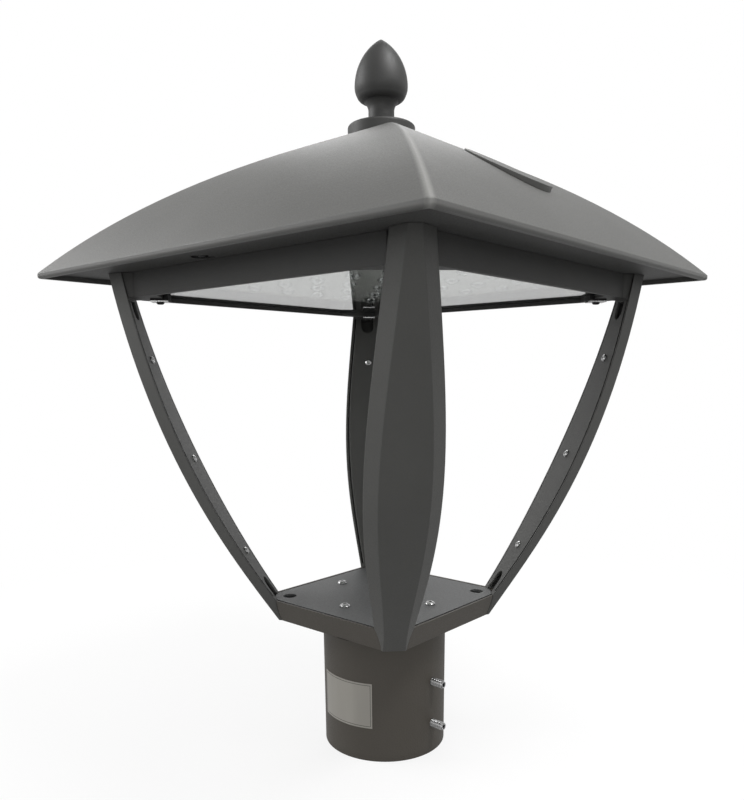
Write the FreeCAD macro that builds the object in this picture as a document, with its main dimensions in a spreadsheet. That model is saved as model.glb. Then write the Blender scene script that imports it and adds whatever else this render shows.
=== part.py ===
import FreeCAD, Part
import math
import os
import Sketcher

# Post-top garden lantern: a square hat roof with a turned finial stands on four bowed arms,
# which rise from the corners of a base box over a pole sleeve.
# Frame: +Z up, origin at the centre of the sleeve's bottom rim, roof sides along X and Y.

vector = FreeCAD.Vector
doc = FreeCAD.newDocument("post_top_lantern")
sheet = doc.addObject("Spreadsheet::Sheet", "Sizes")

# Driving sizes, in millimetres and degrees, grouped by the piece that they describe
sizes = {
    "pole sleeve": {
        "sleeve_bore": 116.0,
        "sleeve_foot_width": 125.5,
        "sleeve_top_width": 129.5,
        "sleeve_height": 118.4,
        "set_screw_width": 8.0,
        "set_screw_reach": 13.0,
        "set_screw_low": 29.7,
        "set_screw_high": 72.2,
        "set_screw_inset": 1.2,
        "hex_socket_width": 4.0,
        "hex_socket_depth": 3.5,
    },
    "rating label": {
        "label_arc": 58.0,
        "label_height": 45.0,
        "label_base": 33.0,
        "label_film": 0.3,
    },
    "base box": {
        "box_side": 186.0,
        "box_foot_side": 169.2,
        "box_neck_side": 124.0,
        "box_under": 10.0,
        "box_height": 22.2,
        "box_floor": 4.0,
        "box_wall": 8.0,
        "box_rim": 2.4,
        "box_corner": 119.5,
        "corner_lean": 27.4,
        "boss_width": 12.0,
    },
    "base lid": {
        "lid_gap": 1.8,
        "lid_sheet": 3.0,
        "lid_seal": 1.5,
        "lid_screw_circle": 122.0,
        "wire_hole_width": 14.0,
        "wire_hole_circle": 200.0,
    },
    "cable entry and terminals": {
        "cable_hole": 26.0,
        "grommet_lip": 3.0,
        "grommet_wall": 3.0,
        "terminal_length": 48.0,
        "terminal_width": 20.0,
        "terminal_height": 11.0,
        "terminal_offset": 34.0,
        "terminal_spacing": 13.0,
        "terminal_well": 6.0,
        "terminal_screw_gap": 0.6,
    },
    "arms": {
        "arm_top_proud": 26.4,
        "arm_top_drop": 6.6,
        "arm_foot_tuck": 1.5,
        "arm_foot_drop": 5.9,
        "arm_bow": 20.1,
        "arm_foot_width": 31.0,
        "arm_lower_width": 55.5,
        "arm_belly_width": 65.5,
        "arm_upper_width": 54.0,
        "arm_top_width": 34.6,
        "arm_bevel": 11.5,
        "arm_foot_bevel": 4.5,
        "arm_depth": 15.0,
        "arm_foot_depth": 11.0,
        "arm_wall": 2.4,
        "head_lap": 2.0,
        "head_bolt_inset": 11.0,
        "foot_bolt_grip": 2.0,
        "cover_sheet": 2.5,
        "cover_gap": 2.2,
        "cover_slot_width": 17.0,
        "cover_slot_length": 20.0,
    },
    "light frame": {
        "frame_side": 382.4,
        "frame_base": 463.2,
        "frame_height": 25.4,
        "frame_corner": 252.6,
        "frame_wall": 5.0,
        "clip_boss_corner": 226.0,
        "shoulder_width": 10.0,
        "shoulder_rise": 9.5,
        "tray_sheet": 3.6,
        "seat_gap": 1.2,
    },
    "glass": {
        "glass_sheet": 4.0,
        "glass_seal": 1.5,
        "clip_width": 15.0,
        "clip_length": 18.0,
        "clip_sheet": 1.4,
        "pad_sheet": 2.0,
        "pad_lip": 3.6,
    },
    "light engine": {
        "board_side": 300.0,
        "board_sheet": 1.6,
        "lens_width": 16.0,
        "lens_height": 5.0,
        "lens_rim": 1.5,
        "lens_border": 30.0,
        "driver_length": 170.0,
        "driver_width": 62.0,
        "driver_height": 38.0,
        "driver_foot": 14.0,
        "driver_foot_sheet": 2.5,
    },
    "soffit": {
        "soffit_sheet": 4.0,
        "soffit_opening": 300.0,
        "frame_screw_span": 180.0,
        "soffit_recess_width": 22.0,
        "soffit_recess_depth": 2.0,
        "soffit_screw_out": 11.8,
        "soffit_screw_aside": 35.0,
        "soffit_drop": 4.9,
        "soffit_gap": 0.8,
    },
    "roof": {
        "roof_side": 502.0,
        "roof_lip": 5.0,
        "roof_rise": 145.3,
        "roof_crown_side": 48.0,
        "roof_eave_slope": 47.5,
        "roof_crown_slope": 20.0,
        "roof_wall": 4.0,
        "roof_rim": 6.0,
        "roof_hip_round": 5.0,
        "roof_eave_round": 2.5,
        "roof_post_width": 14.0,
    },
    "sensor cover": {
        "sensor_width": 88.0,
        "sensor_inset": 99.0,
        "sensor_tilt": 30.2,
        "sensor_proud": 1.9,
        "sensor_neck_width": 50.0,
        "sensor_nut_width": 64.0,
        "sensor_nut_height": 8.0,
    },
    "collar and finial": {
        "collar_width": 70.5,
        "collar_proud": 9.0,
        "collar_round": 3.0,
        "finial_neck_width": 27.0,
        "finial_neck_height": 15.0,
        "finial_cove_width": 36.0,
        "finial_cove_height": 25.0,
        "finial_shoulder_width": 51.0,
        "finial_shoulder_height": 31.0,
        "finial_shoulder_round": 9.0,
        "finial_width": 55.6,
        "finial_belly_height": 40.3,
        "finial_height": 89.0,
        "finial_tip_width": 3.0,
        "stud_width": 10.0,
        "stud_grip": 26.0,
        "nut_width": 17.0,
        "nut_height": 8.0,
    },
    "screws": {
        "small_shank": 4.0,
        "small_head": 8.0,
        "small_head_height": 2.2,
        "small_length": 9.0,
        "medium_shank": 5.0,
        "medium_head": 9.5,
        "medium_head_height": 2.6,
        "medium_length": 12.0,
        "large_shank": 6.0,
        "large_head": 10.5,
        "large_head_height": 2.8,
        "large_length": 12.0,
    },
}


# A number together with the sheet expression that gives it
class Size:
    def __init__(self, value, text):
        self.value = float(value)
        self.text = text

    def __add__(self, other):
        other = as_size(other)
        return Size(self.value + other.value, f"({self.text} + {other.text})")

    def __sub__(self, other):
        other = as_size(other)
        return Size(self.value - other.value, f"({self.text} - {other.text})")

    def __rsub__(self, other):
        return as_size(other) - self

    def __mul__(self, other):
        other = as_size(other)
        return Size(self.value * other.value, f"({self.text} * {other.text})")

    def __truediv__(self, other):
        other = as_size(other)
        return Size(self.value / other.value, f"({self.text} / {other.text})")

    def __neg__(self):
        return 0 - self

    def __float__(self):
        return self.value

    __radd__ = __add__
    __rmul__ = __mul__


def as_size(number):
    if isinstance(number, Size):
        return number
    return Size(number, f"{float(number):.9f}")


def tangent(angle):
    return Size(math.tan(math.radians(angle.value)), f"tan({angle.text})")


def cosine(angle):
    return Size(math.cos(math.radians(angle.value)), f"cos({angle.text})")


# Radius of the arc that leaves one point upright and reaches another, a step across and a step along
def upright_round(across, along):
    return (across * across + along * along) / across / 2


def fill_sheet():
    row = 1
    for group, entries in sizes.items():
        sheet.set(f"A{row}", group)
        row += 1
        for alias, value in entries.items():
            sheet.set(f"A{row}", alias.replace("_", " "))
            sheet.set(f"B{row}", str(value))
            sheet.setAlias(f"B{row}", alias)
            row += 1
    doc.recompute()


class Sheet:
    def __getattr__(self, alias):
        return Size(sheet.get(alias), f"Sizes.{alias}")


fill_sheet()
s = Sheet()
root_two = math.sqrt(2)
overshoot = 1.0
diagonals = [45, 135, 225, 315]
quarters = [0, 90, 180, 270]
nodes = []


# Gives an object its node name and lists it for export
def node(obj, label):
    obj.Label = label
    nodes.append(obj)
    return obj


def bind(obj, **rules):
    for prop, rule in rules.items():
        obj.setExpression(prop, as_size(rule).text)
    return obj


def place(obj, x=0, y=0, z=0):
    for axis, rule in zip("xyz", (x, y, z)):
        obj.setExpression(f"Placement.Base.{axis}", as_size(rule).text)
    return obj


def cylinder(name, width, height, x=0, y=0, z=0):
    obj = doc.addObject("Part::Cylinder", name)
    bind(obj, Radius=width / 2, Height=height)
    return place(obj, x, y, z)


# A round bar along the radial direction at an angle about the axis, from one radius to another
def radial_bar(name, width, inner, outer, z, degrees):
    obj = doc.addObject("Part::Cylinder", name)
    bind(obj, Radius=width / 2, Height=outer - inner)
    direction = vector(math.cos(math.radians(degrees)), math.sin(math.radians(degrees)), 0)
    obj.Placement.Rotation = FreeCAD.Rotation(vector(0, 0, 1), direction)
    return place(obj, inner * direction.x, inner * direction.y, z)


def block(name, length, width, height, x=0, y=0, z=0):
    obj = doc.addObject("Part::Box", name)
    bind(obj, Length=length, Width=width, Height=height)
    return place(obj, x - as_size(length) / 2, y - as_size(width) / 2, z)


def cut(name, base, *tools):
    obj = doc.addObject("Part::Cut", name)
    obj.Base = base
    obj.Tool = tools[0] if len(tools) == 1 else fuse(f"{name}_tools", *tools)
    return obj


def fuse(name, *shapes):
    obj = doc.addObject("Part::MultiFuse", name)
    obj.Shapes = list(shapes)
    return obj


def common(name, *shapes):
    obj = doc.addObject("Part::MultiCommon", name)
    obj.Shapes = list(shapes)
    return obj


def fixed_shape(name, shape, placement=FreeCAD.Placement()):
    obj = doc.addObject("Part::Feature", name)
    obj.Shape = shape
    obj.Placement = placement
    return obj


# A square frustum about the axis; its half widths at the lower and upper heights may differ
def frustum(name, low_half, high_half, low, high, degrees=0):
    obj = doc.addObject("Part::Wedge", name)
    low_half, high_half = as_size(low_half), as_size(high_half)
    bind(obj, Xmin=-low_half, Xmax=low_half, Zmin=-low_half, Zmax=low_half)
    bind(obj, X2min=-high_half, X2max=high_half, Z2min=-high_half, Z2max=high_half)
    bind(obj, Ymin=0, Ymax=as_size(high) - low)
    upright = FreeCAD.Rotation(vector(1, 0, 0), 90)
    obj.Placement.Rotation = FreeCAD.Rotation(vector(0, 0, 1), degrees).multiply(upright)
    return place(obj, z=low)


# Half width and corner distance of the base box at a height, a set inset from its outside
def box_half(z, inset=0):
    slope = (s.box_side - s.box_foot_side) / 2 / s.box_height
    return s.box_foot_side / 2 + slope * (z - box_base) - inset


def box_corner(z, inset=0):
    return s.box_corner - tangent(s.corner_lean) * (box_top - z) - inset


# The base box's eight-sided form between two heights, the same inset all round
def box_form(name, low, high, inset=0):
    return common(
        name,
        frustum(f"{name}_sides", box_half(low, inset), box_half(high, inset), low, high),
        frustum(f"{name}_corners", box_corner(low, inset), box_corner(high, inset), low, high, 45),
    )


# A closed outline in a sketch; a corner is (x, y) or (x, y, radius) where an arc leads on to the
# next corner, bulging outward for a positive radius and inward for a negative one
def draw_outline(sketch, corners):
    first = sketch.GeometryCount
    count = len(corners)
    for index, corner in enumerate(corners):
        start = vector(float(corner[0]), float(corner[1]))
        following = corners[(index + 1) % count]
        end = vector(float(following[0]), float(following[1]))
        if len(corner) == 2:
            sketch.addGeometry(Part.LineSegment(start, end))
            continue
        radius = float(corner[2])
        chord = end - start
        outward = vector(chord.y, -chord.x).normalize()
        rise = abs(radius) - math.sqrt(radius * radius - chord.Length * chord.Length / 4)
        crest = (start + end) * 0.5 + outward * math.copysign(rise, radius)
        sketch.addGeometry(Part.Arc(start, crest, end))
    for index, corner in enumerate(corners):
        here = first + index
        start_end = vertex_ends(corner)
        follower = first + (index + 1) % count
        follower_start = vertex_ends(corners[(index + 1) % count])[0]
        joint = Sketcher.Constraint("Coincident", here, start_end[1], follower, follower_start)
        sketch.addConstraint(joint)
        hold_vertex(sketch, here, start_end[0], corner)
        if len(corner) == 3:
            radius = as_size(corner[2])
            radius = radius if radius.value > 0 else -radius
            number = sketch.addConstraint(Sketcher.Constraint("Radius", here, radius.value))
            sketch.setExpression(f"Constraints[{number}]", radius.text)


# The vertex numbers of an edge's start and end: an inward arc runs the other way round
def vertex_ends(corner):
    hollow = len(corner) == 3 and float(corner[2]) < 0
    return (2, 1) if hollow else (1, 2)


def hold_vertex(sketch, edge, vertex, corner):
    for kind, axis, rule in (("DistanceX", -2, corner[0]), ("DistanceY", -1, corner[1])):
        rule = as_size(rule)
        if rule.value == 0:
            sketch.addConstraint(Sketcher.Constraint("PointOnObject", edge, vertex, axis))
            continue
        number = sketch.addConstraint(Sketcher.Constraint(kind, edge, vertex, rule.value))
        sketch.setExpression(f"Constraints[{number}]", rule.text)


def draw_hole(sketch, x, y, width):
    x, y, radius = as_size(x), as_size(y), as_size(width) / 2
    edge = sketch.addGeometry(Part.Circle(vector(x.value, y.value), vector(0, 0, 1), radius.value))
    hold_vertex(sketch, edge, 3, (x, y))
    number = sketch.addConstraint(Sketcher.Constraint("Radius", edge, radius.value))
    sketch.setExpression(f"Constraints[{number}]", radius.text)


def new_sketch(body, name, role):
    sketch = body.newObject("Sketcher::SketchObject", name)
    plane = [feature for feature in body.Origin.OriginFeatures if feature.Role == role][0]
    sketch.AttachmentSupport = (plane, [""])
    sketch.MapMode = "FlatFace"
    return sketch


# A turned piece from its half section, drawn as (radius, height) corners round the outline
def turned(name, corners):
    body = doc.addObject("PartDesign::Body", name)
    sketch = new_sketch(body, f"{name}_section", "XZ_Plane")
    draw_outline(sketch, corners)
    turning = body.newObject("PartDesign::Revolution", f"{name}_turning")
    turning.Profile = sketch
    turning.ReferenceAxis = (sketch, ["V_Axis"])
    turning.Angle = 360
    return body


# A flat piece padded up in layers; a layer is (low, high, outlines, holes)
def layered(name, *layers):
    body = doc.addObject("PartDesign::Body", name)
    for number, (low, high, outlines, holes) in enumerate(layers):
        sketch = new_sketch(body, f"{name}_outline_{number}", "XY_Plane")
        sketch.setExpression("AttachmentOffset.Base.z", as_size(low).text)
        for outline in outlines:
            draw_outline(sketch, outline)
        for hole in holes:
            draw_hole(sketch, *hole)
        pad = body.newObject("PartDesign::Pad", f"{name}_pad_{number}")
        pad.Profile = sketch
        bind(pad, Length=as_size(high) - low)
    return body


# A square outline about the axis with its corners cut at a distance from the axis
def cut_square(half, corner):
    half, corner = as_size(half), as_size(corner)
    near = corner * root_two - half
    return [(half, -near), (half, near), (near, half), (-near, half),
            (-half, near), (-half, -near), (-near, -half), (near, -half)]


def square(half):
    half = as_size(half)
    return [(half, -half), (half, half), (-half, half), (-half, -half)]


# Points evenly round the axis, as (x, y) rules
def ring_points(radius, angles):
    return [(radius * math.cos(math.radians(a)), radius * math.sin(math.radians(a))) for a in angles]


# A pan head screw standing on its seat at the origin, shank down, with a hex socket in its head.
# The head's straight edge, its rounding and its flat top are shares of the head; so is the socket.
head_edge_share = 0.45
head_round_share = 0.45
head_flat_share = 0.34
socket_share = 0.42
socket_floor_share = 0.5


def screw_form(name, shank, head, head_height, length):
    body = turned(f"{name}_body", [
        (0, -length), (shank / 2, -length), (shank / 2, 0), (head / 2, 0),
        (head / 2, head_height * head_edge_share, head * head_round_share),
        (head * head_flat_share, head_height), (0, head_height),
    ])
    socket = doc.addObject("Part::Prism", f"{name}_socket")
    socket.Polygon = 6
    bind(socket, Circumradius=shank * socket_share, Height=head_height)
    place(socket, z=head_height * socket_floor_share)
    return cut(name, body, socket)


# Placements of a screw whose head points along a direction at each point
def facing(points, direction):
    rotation = FreeCAD.Rotation(vector(0, 0, 1), direction)
    return [FreeCAD.Placement(point, rotation) for point in points]


def around(placements, angles):
    turned_places = []
    for degrees in angles:
        spin = FreeCAD.Placement(vector(), FreeCAD.Rotation(vector(0, 0, 1), degrees))
        turned_places += [spin.multiply(placement) for placement in placements]
    return turned_places


def copies(name, form, placements):
    doc.recompute()
    solids = []
    for placement in placements:
        solid = form.Shape.copy()
        solid.Placement = placement.multiply(solid.Placement)
        solids.append(solid)
    return fixed_shape(name, Part.makeCompound(solids))


# Levels, from the sleeve's rim up
box_base = s.sleeve_height + s.box_under
box_top = box_base + s.box_height
box_floor_top = box_base + s.box_floor
lid_seat = box_top - s.lid_sheet
ledge_top = lid_seat - s.lid_seal
frame_top = s.frame_base + s.frame_height
shoulder_base = s.frame_base + s.shoulder_rise
glass_top = shoulder_base - s.glass_seal
glass_base = glass_top - s.glass_sheet
tray_base = frame_top - s.tray_sheet
soffit_top = frame_top + s.soffit_sheet
eave_base = frame_top - s.soffit_drop
eave_top = eave_base + s.roof_lip
crown_top = eave_top + s.roof_rise
collar_top = crown_top + s.collar_proud
frame_half = s.frame_side / 2
roof_half = s.roof_side / 2
rim_half = roof_half - s.roof_rim


# Screw forms shared by the groups below. The driver's are just long enough for its feet and the tray,
# and the foot bolts for the base's corner wall and their grip in the arm.
small_screw = screw_form("small_screw", s.small_shank, s.small_head, s.small_head_height, s.small_length)
driver_screw = screw_form("driver_screw", s.small_shank, s.small_head, s.small_head_height,
                          s.driver_foot_sheet + s.tray_sheet)
medium_screw = screw_form("medium_screw", s.medium_shank, s.medium_head, s.medium_head_height,
                          s.medium_length)
large_screw = screw_form("large_screw", s.large_shank, s.large_head, s.large_head_height, s.large_length)
foot_bolt_length = s.box_wall * cosine(s.corner_lean) + s.foot_bolt_grip
foot_bolt = screw_form("foot_bolt", s.large_shank, s.large_head, s.large_head_height, foot_bolt_length)


# Sleeve outside: radius at a height, on its slight draft
def sleeve_radius(z):
    draft = (s.sleeve_top_width - s.sleeve_foot_width) / 2 / s.sleeve_height
    return s.sleeve_foot_width / 2 + draft * z


set_screw_angles = [0, 180]
set_screw_heights = [s.set_screw_low, s.set_screw_high]


# The arm's outer face is an arc in the diagonal plane, from below the base box's corner
# to beside the light frame's corner
class ArmArc:
    def __init__(self):
        top = vector(float(s.frame_corner + s.arm_top_proud), 0, float(frame_top - s.arm_top_drop))
        foot = vector(float(box_corner(box_base) - s.arm_foot_tuck), 0, float(box_base - s.arm_foot_drop))
        chord = top - foot
        bow = s.arm_bow.value
        self.radius = chord.Length * chord.Length / (8 * bow) + bow / 2
        outward = vector(chord.z, 0, -chord.x).normalize()
        self.centre = (top + foot) * 0.5 + outward * (bow - self.radius)
        self.foot_angle = self.angle_of(foot)
        self.top_angle = self.angle_of(top)

    def angle_of(self, point):
        arm = point - self.centre
        return math.atan2(arm.z, arm.x)

    # Frame on the outer face at a share of the arc: X outward, Y across the arm, Z up along it
    def station(self, share):
        angle = self.foot_angle + (self.top_angle - self.foot_angle) * share
        outward = vector(math.cos(angle), 0, math.sin(angle))
        upward = vector(-math.sin(angle), 0, math.cos(angle))
        rotation = FreeCAD.Rotation(outward, vector(0, 1, 0), upward, "XYZ")
        return FreeCAD.Placement(self.centre + outward * self.radius, rotation)

    # The share of the arc at a distance along it from another share
    def moved(self, share, distance):
        return share + distance / (self.radius * (self.top_angle - self.foot_angle))


arc = ArmArc()
arm_shares = [0.0, 0.25, 0.5, 0.75, 1.0]
cover_shares = [0.08, 0.3, 0.5, 0.7, 0.935]
cover_screw_shares = [0.215, 0.495, 0.775]


def arm_depth(share):
    return float(s.arm_foot_depth + (s.arm_depth - s.arm_foot_depth) * share)


# A size that changes smoothly along the arm: the curve through its values at the five stations
def station_curve(*values):
    curve = Part.BSplineCurve()
    curve.interpolate([vector(share, float(value)) for share, value in zip(arm_shares, values)],
                      Parameters=arm_shares)
    return curve


widths = station_curve(s.arm_foot_width, s.arm_lower_width, s.arm_belly_width, s.arm_upper_width,
                       s.arm_top_width)
bevels = station_curve(s.arm_foot_bevel, s.arm_bevel, s.arm_bevel, s.arm_bevel, s.arm_bevel)


def arm_bevel(share):
    return bevels.value(min(share, 1)).y


# Above its last station the arm goes on narrowing at the same rate
def arm_width(share):
    if share <= 1:
        return widths.value(share).y
    rate = widths.getDN(1.0, 1)
    return widths.value(1.0).y + (share - 1) * rate.y / rate.x


# A trapezoid across the arm: half widths at two depths below the outer face
def arm_section(share, near_half, near_depth, far_half, far_depth):
    frame = arc.station(share)
    corners = [(-near_depth, -near_half), (-far_depth, -far_half),
               (-far_depth, far_half), (-near_depth, near_half)]
    points = [frame.multVec(vector(x, y, 0)) for x, y in corners]
    return Part.makePolygon(points + points[:1])


def arm_outer(share):
    half = arm_width(share) / 2
    return arm_section(share, half - arm_bevel(share), 0, half, arm_depth(share))


# Half width of the arm's channel at a depth: its sides slope as the arm's outside does
def channel_half(share, depth):
    slope = arm_bevel(share) / arm_depth(share)
    return arm_width(share) / 2 - float(s.arm_wall) - slope * (arm_depth(share) - depth)


def arm_channel(share):
    floor = float(s.arm_wall)
    mouth = arm_depth(share) + overshoot
    return arm_section(share, channel_half(share, floor), floor, channel_half(share, mouth), mouth)


def cover_section(share):
    back = arm_depth(share) - float(s.cover_sheet)
    face = arm_depth(share)
    gap = float(s.cover_gap)
    return arm_section(share, channel_half(share, back) - gap, back, channel_half(share, face) - gap, face)


# A round bar square to the arm at a share of its length, between two depths
def arm_peg(share, width, near_depth, far_depth):
    frame = arc.station(share)
    start = frame.multVec(vector(-far_depth, 0, 0))
    outward = frame.Rotation.multVec(vector(1, 0, 0))
    return Part.makeCylinder(width / 2, far_depth - near_depth, start, outward)


# An open slot at one end of a cover, for a lead to leave the arm's channel. It runs on past the
# cover's end, through the channel's end wall, and stays clear of the arm's outer face.
def cover_slot(share, away):
    width = float(s.cover_slot_width)
    length = float(s.cover_slot_length)
    inner = arc.moved(share, away * (length - width / 2))
    floor = float(s.arm_wall)
    back = arm_depth(share) + overshoot
    peg = arm_peg(inner, width, floor, back)
    run = Part.makeBox(back - floor, width, length + width / 2)
    run.translate(vector(-back, -width / 2, 0 if away < 0 else -length - width / 2))
    run.Placement = arc.station(inner).multiply(run.Placement)
    return peg.fuse(run)


# The arm's head: a block from the light frame's cut corner into the arm's back, within its bevels
def arm_head():
    inner = float(s.frame_corner)
    low, high = float(s.frame_base), float(frame_top)
    lap = float(s.head_lap)
    width = float(s.arm_top_width) - 2 * lap * arm_bevel(1) / arm_depth(1)
    head = Part.makeBox(arc.radius, width, high - low, vector(inner, -width / 2, low))
    reach = arc.radius - arm_depth(1) + lap
    disc = Part.makeCylinder(reach, width, arc.centre - vector(0, width / 2, 0), vector(0, 1, 0))
    return head.common(disc)


def cover_plate():
    return Part.makeLoft([cover_section(share) for share in cover_shares], True)


# The arm runs up past the soffit's level and is trimmed there, and its screw bosses are trimmed
# by the cover that they carry
def arm_shape():
    past_top = arc.moved(1, 2 * float(s.arm_top_drop))
    body = Part.makeLoft([arm_outer(share) for share in arm_shares + [past_top]], True)
    channel = Part.makeLoft([arm_channel(share) for share in cover_shares], True)
    shape = body.cut(channel)
    for share in cover_screw_shares:
        back = arm_depth(share) - float(s.cover_sheet) / 2
        shape = shape.fuse(arm_peg(share, float(s.small_head), float(s.arm_wall) / 2, back))
    shape = shape.cut(cover_plate()).fuse(arm_head())
    shape = shape.cut(cover_slot(cover_shares[0], 1))
    for share in cover_screw_shares:
        tip = arm_depth(share) - float(s.small_length)
        shape = shape.cut(arm_peg(share, float(s.small_shank), tip, float(s.arm_depth)))
    for placement in head_bolt_places:
        shape = shape.cut(bolt_hole(placement, s.medium_shank, s.medium_length))
    for placement in foot_bolt_places:
        shape = shape.cut(bolt_hole(placement, s.large_shank, foot_bolt_length))
    ceiling = Part.makeBox(2 * arc.radius, arc.radius, arc.radius,
                           vector(0, -arc.radius / 2, float(frame_top)))
    ground = Part.makeBox(2 * arc.radius, arc.radius, arc.radius,
                          vector(0, -arc.radius / 2, float(box_base) - arc.radius))
    corner_of_base = base_form.Shape.copy()
    corner_of_base.rotate(vector(), vector(0, 0, 1), -45)
    return shape.cut(ceiling).cut(ground).cut(corner_of_base).removeSplitter()


def cover_shape():
    shape = cover_plate()
    for share in cover_screw_shares:
        depth = arm_depth(share)
        shape = shape.cut(arm_peg(share, float(s.small_shank), 0, depth + overshoot))
        shape = shape.cut(arm_peg(share, float(s.small_head), depth, depth + overshoot))
    shape = shape.cut(cover_slot(cover_shares[0], 1))
    return shape.cut(cover_slot(cover_shares[-1], -1))


# The shank's round bar below a screw's seat
def bolt_hole(placement, shank, length):
    downward = placement.Rotation.multVec(vector(0, 0, -1))
    return Part.makeCylinder(float(shank) / 2, float(length), placement.Base, downward)


def cover_screw_places():
    places = []
    for share in cover_screw_shares:
        frame = arc.station(share)
        seat = frame.multVec(vector(-arm_depth(share), 0, 0))
        inward = frame.Rotation.multVec(vector(-1, 0, 0))
        places += facing([seat], inward)
    return places


# Bolts down through the soffit into each arm's head, either side of its middle
head_bolt_radius = float(s.frame_corner + s.head_bolt_inset)
head_bolt_spread = float(s.arm_top_width) / 4
head_bolt_places = facing([vector(head_bolt_radius, side * head_bolt_spread, float(soffit_top))
                           for side in (-1, 1)], vector(0, 0, 1))

# A bolt from inside the base box through each corner wall into an arm's foot
corner_angle = math.radians(float(s.corner_lean))
corner_inward = vector(-math.cos(corner_angle), 0, math.sin(corner_angle))
foot_bolt_height = float(box_floor_top + ledge_top) / 2
foot_bolt_seat = vector(float(box_corner(foot_bolt_height, s.box_wall)), 0, foot_bolt_height)
foot_bolt_places = facing([foot_bolt_seat], corner_inward)


# Base casting: pole sleeve and box in one piece
sleeve = doc.addObject("Part::Cone", "sleeve")
bind(sleeve, Radius1=s.sleeve_foot_width / 2, Radius2=s.sleeve_top_width / 2, Height=s.sleeve_height)
base_form = box_form("base_form", box_base, box_top)
underside = common(
    "underside",
    frustum("underside_sides", s.box_neck_side / 2, box_half(box_base), s.sleeve_height, box_base),
    frustum("underside_corners", s.box_neck_side / 2, box_corner(box_base), s.sleeve_height, box_base, 45),
)
lid_screw_spots = ring_points(s.lid_screw_circle / 2, quarters)
bosses = [cylinder(f"boss_{n}", s.boss_width, lid_seat - box_floor_top, x, y, box_floor_top)
          for n, (x, y) in enumerate(lid_screw_spots)]
boss_holes = [cylinder(f"boss_hole_{n}", s.large_shank, s.large_length, x, y, box_top - s.large_length)
              for n, (x, y) in enumerate(lid_screw_spots)]
set_screw_holes = [radial_bar(f"set_screw_hole_{n}_{a}", s.set_screw_width, s.sleeve_bore / 2 - overshoot,
                              s.sleeve_top_width / 2 + overshoot, height, a)
                   for n, height in enumerate(set_screw_heights) for a in set_screw_angles]
doc.recompute()
foot_bolt_holes = fixed_shape("foot_bolt_holes", Part.makeCompound([
    bolt_hole(placement, s.large_shank, foot_bolt_length)
    for placement in around(foot_bolt_places, diagonals)]))
base_hollow = cut(
    "base_hollow",
    fuse("base_solid", sleeve, underside, base_form),
    cylinder("bore", s.sleeve_bore, box_base),
    box_form("box_room", box_floor_top, box_top + overshoot, s.box_wall),
    box_form("lid_recess", ledge_top, box_top + overshoot, s.box_rim),
    cylinder("cable_way", s.cable_hole, box_top),
)
base_body = cut(
    "base_body",
    fuse("base_with_bosses", base_hollow, *bosses),
    *boss_holes, *set_screw_holes, foot_bolt_holes,
)
node(base_body, "base_casting")

# Set screws, turned back until their tips stand inside the sleeve's wall
screw_end = s.sleeve_top_width / 2 + s.set_screw_reach
set_screw_parts = []
for number, height in enumerate(set_screw_heights):
    for degrees in set_screw_angles:
        shank = radial_bar(f"set_screw_{number}_{degrees}", s.set_screw_width,
                           s.sleeve_bore / 2 + s.set_screw_inset, screw_end, height, degrees)
        socket = doc.addObject("Part::Prism", f"set_screw_socket_{number}_{degrees}")
        socket.Polygon = 6
        bind(socket, Circumradius=s.hex_socket_width / 2, Height=s.hex_socket_depth)
        socket.Placement.Rotation = shank.Placement.Rotation
        side = 1 if degrees == 0 else -1
        place(socket, side * (screw_end - s.hex_socket_depth), 0, height)
        set_screw_parts.append(cut(f"set_screw_cut_{number}_{degrees}", shank, socket))
set_screw_group = doc.addObject("Part::Compound", "set_screw_group")
set_screw_group.Links = set_screw_parts
node(set_screw_group, "set_screws")


# Rating label: a thin sheet bent round the front of the sleeve
def label_cone(name, film):
    obj = doc.addObject("Part::Cone", name)
    top = s.label_base + s.label_height
    bind(obj, Radius1=sleeve_radius(s.label_base) + film, Radius2=sleeve_radius(top) + film,
         Height=s.label_height, Angle=s.label_arc)
    obj.Placement.Rotation = FreeCAD.Rotation(vector(0, 0, 1), -90 - float(s.label_arc) / 2)
    return place(obj, z=s.label_base)


node(cut("label_sheet", label_cone("label_face", s.label_film), label_cone("label_back", as_size(0))),
     "rating_label")

# Lid, its seal and screws
wire_holes = [cylinder(f"wire_hole_{n}", s.wire_hole_width, box_top + overshoot, x, y)
              for n, (x, y) in enumerate(ring_points(s.wire_hole_circle / 2, diagonals))]
lid_holes_through = [cylinder(f"lid_screw_way_{n}", s.large_shank, box_top + overshoot, x, y)
                     for n, (x, y) in enumerate(lid_screw_spots)]
node(cut("lid_plate", box_form("lid_form", lid_seat, box_top, s.box_rim + s.lid_gap),
         *wire_holes, *lid_holes_through), "base_lid")
node(cut("lid_seal_ring", box_form("lid_seal_form", ledge_top, lid_seat, s.box_rim + s.lid_gap),
         box_form("lid_seal_room", ledge_top - overshoot, lid_seat + overshoot, s.box_wall)),
     "lid_gasket")
lid_screw_places = facing([vector(float(s.lid_screw_circle) / 2, 0, float(box_top))], vector(0, 0, 1))
node(copies("lid_screw_group", large_screw, around(lid_screw_places, quarters)), "lid_screws")

# Cable grommet in the floor of the box, flush below so that the bore stays clear
grommet_outer = s.cable_hole / 2
node(turned("grommet", [
    (grommet_outer - s.grommet_wall, box_base),
    (grommet_outer, box_base),
    (grommet_outer, box_floor_top),
    (grommet_outer + s.grommet_lip, box_floor_top),
    (grommet_outer + s.grommet_lip, box_floor_top + s.grommet_lip),
    (grommet_outer - s.grommet_wall, box_floor_top + s.grommet_lip),
]), "cable_grommet")

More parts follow.
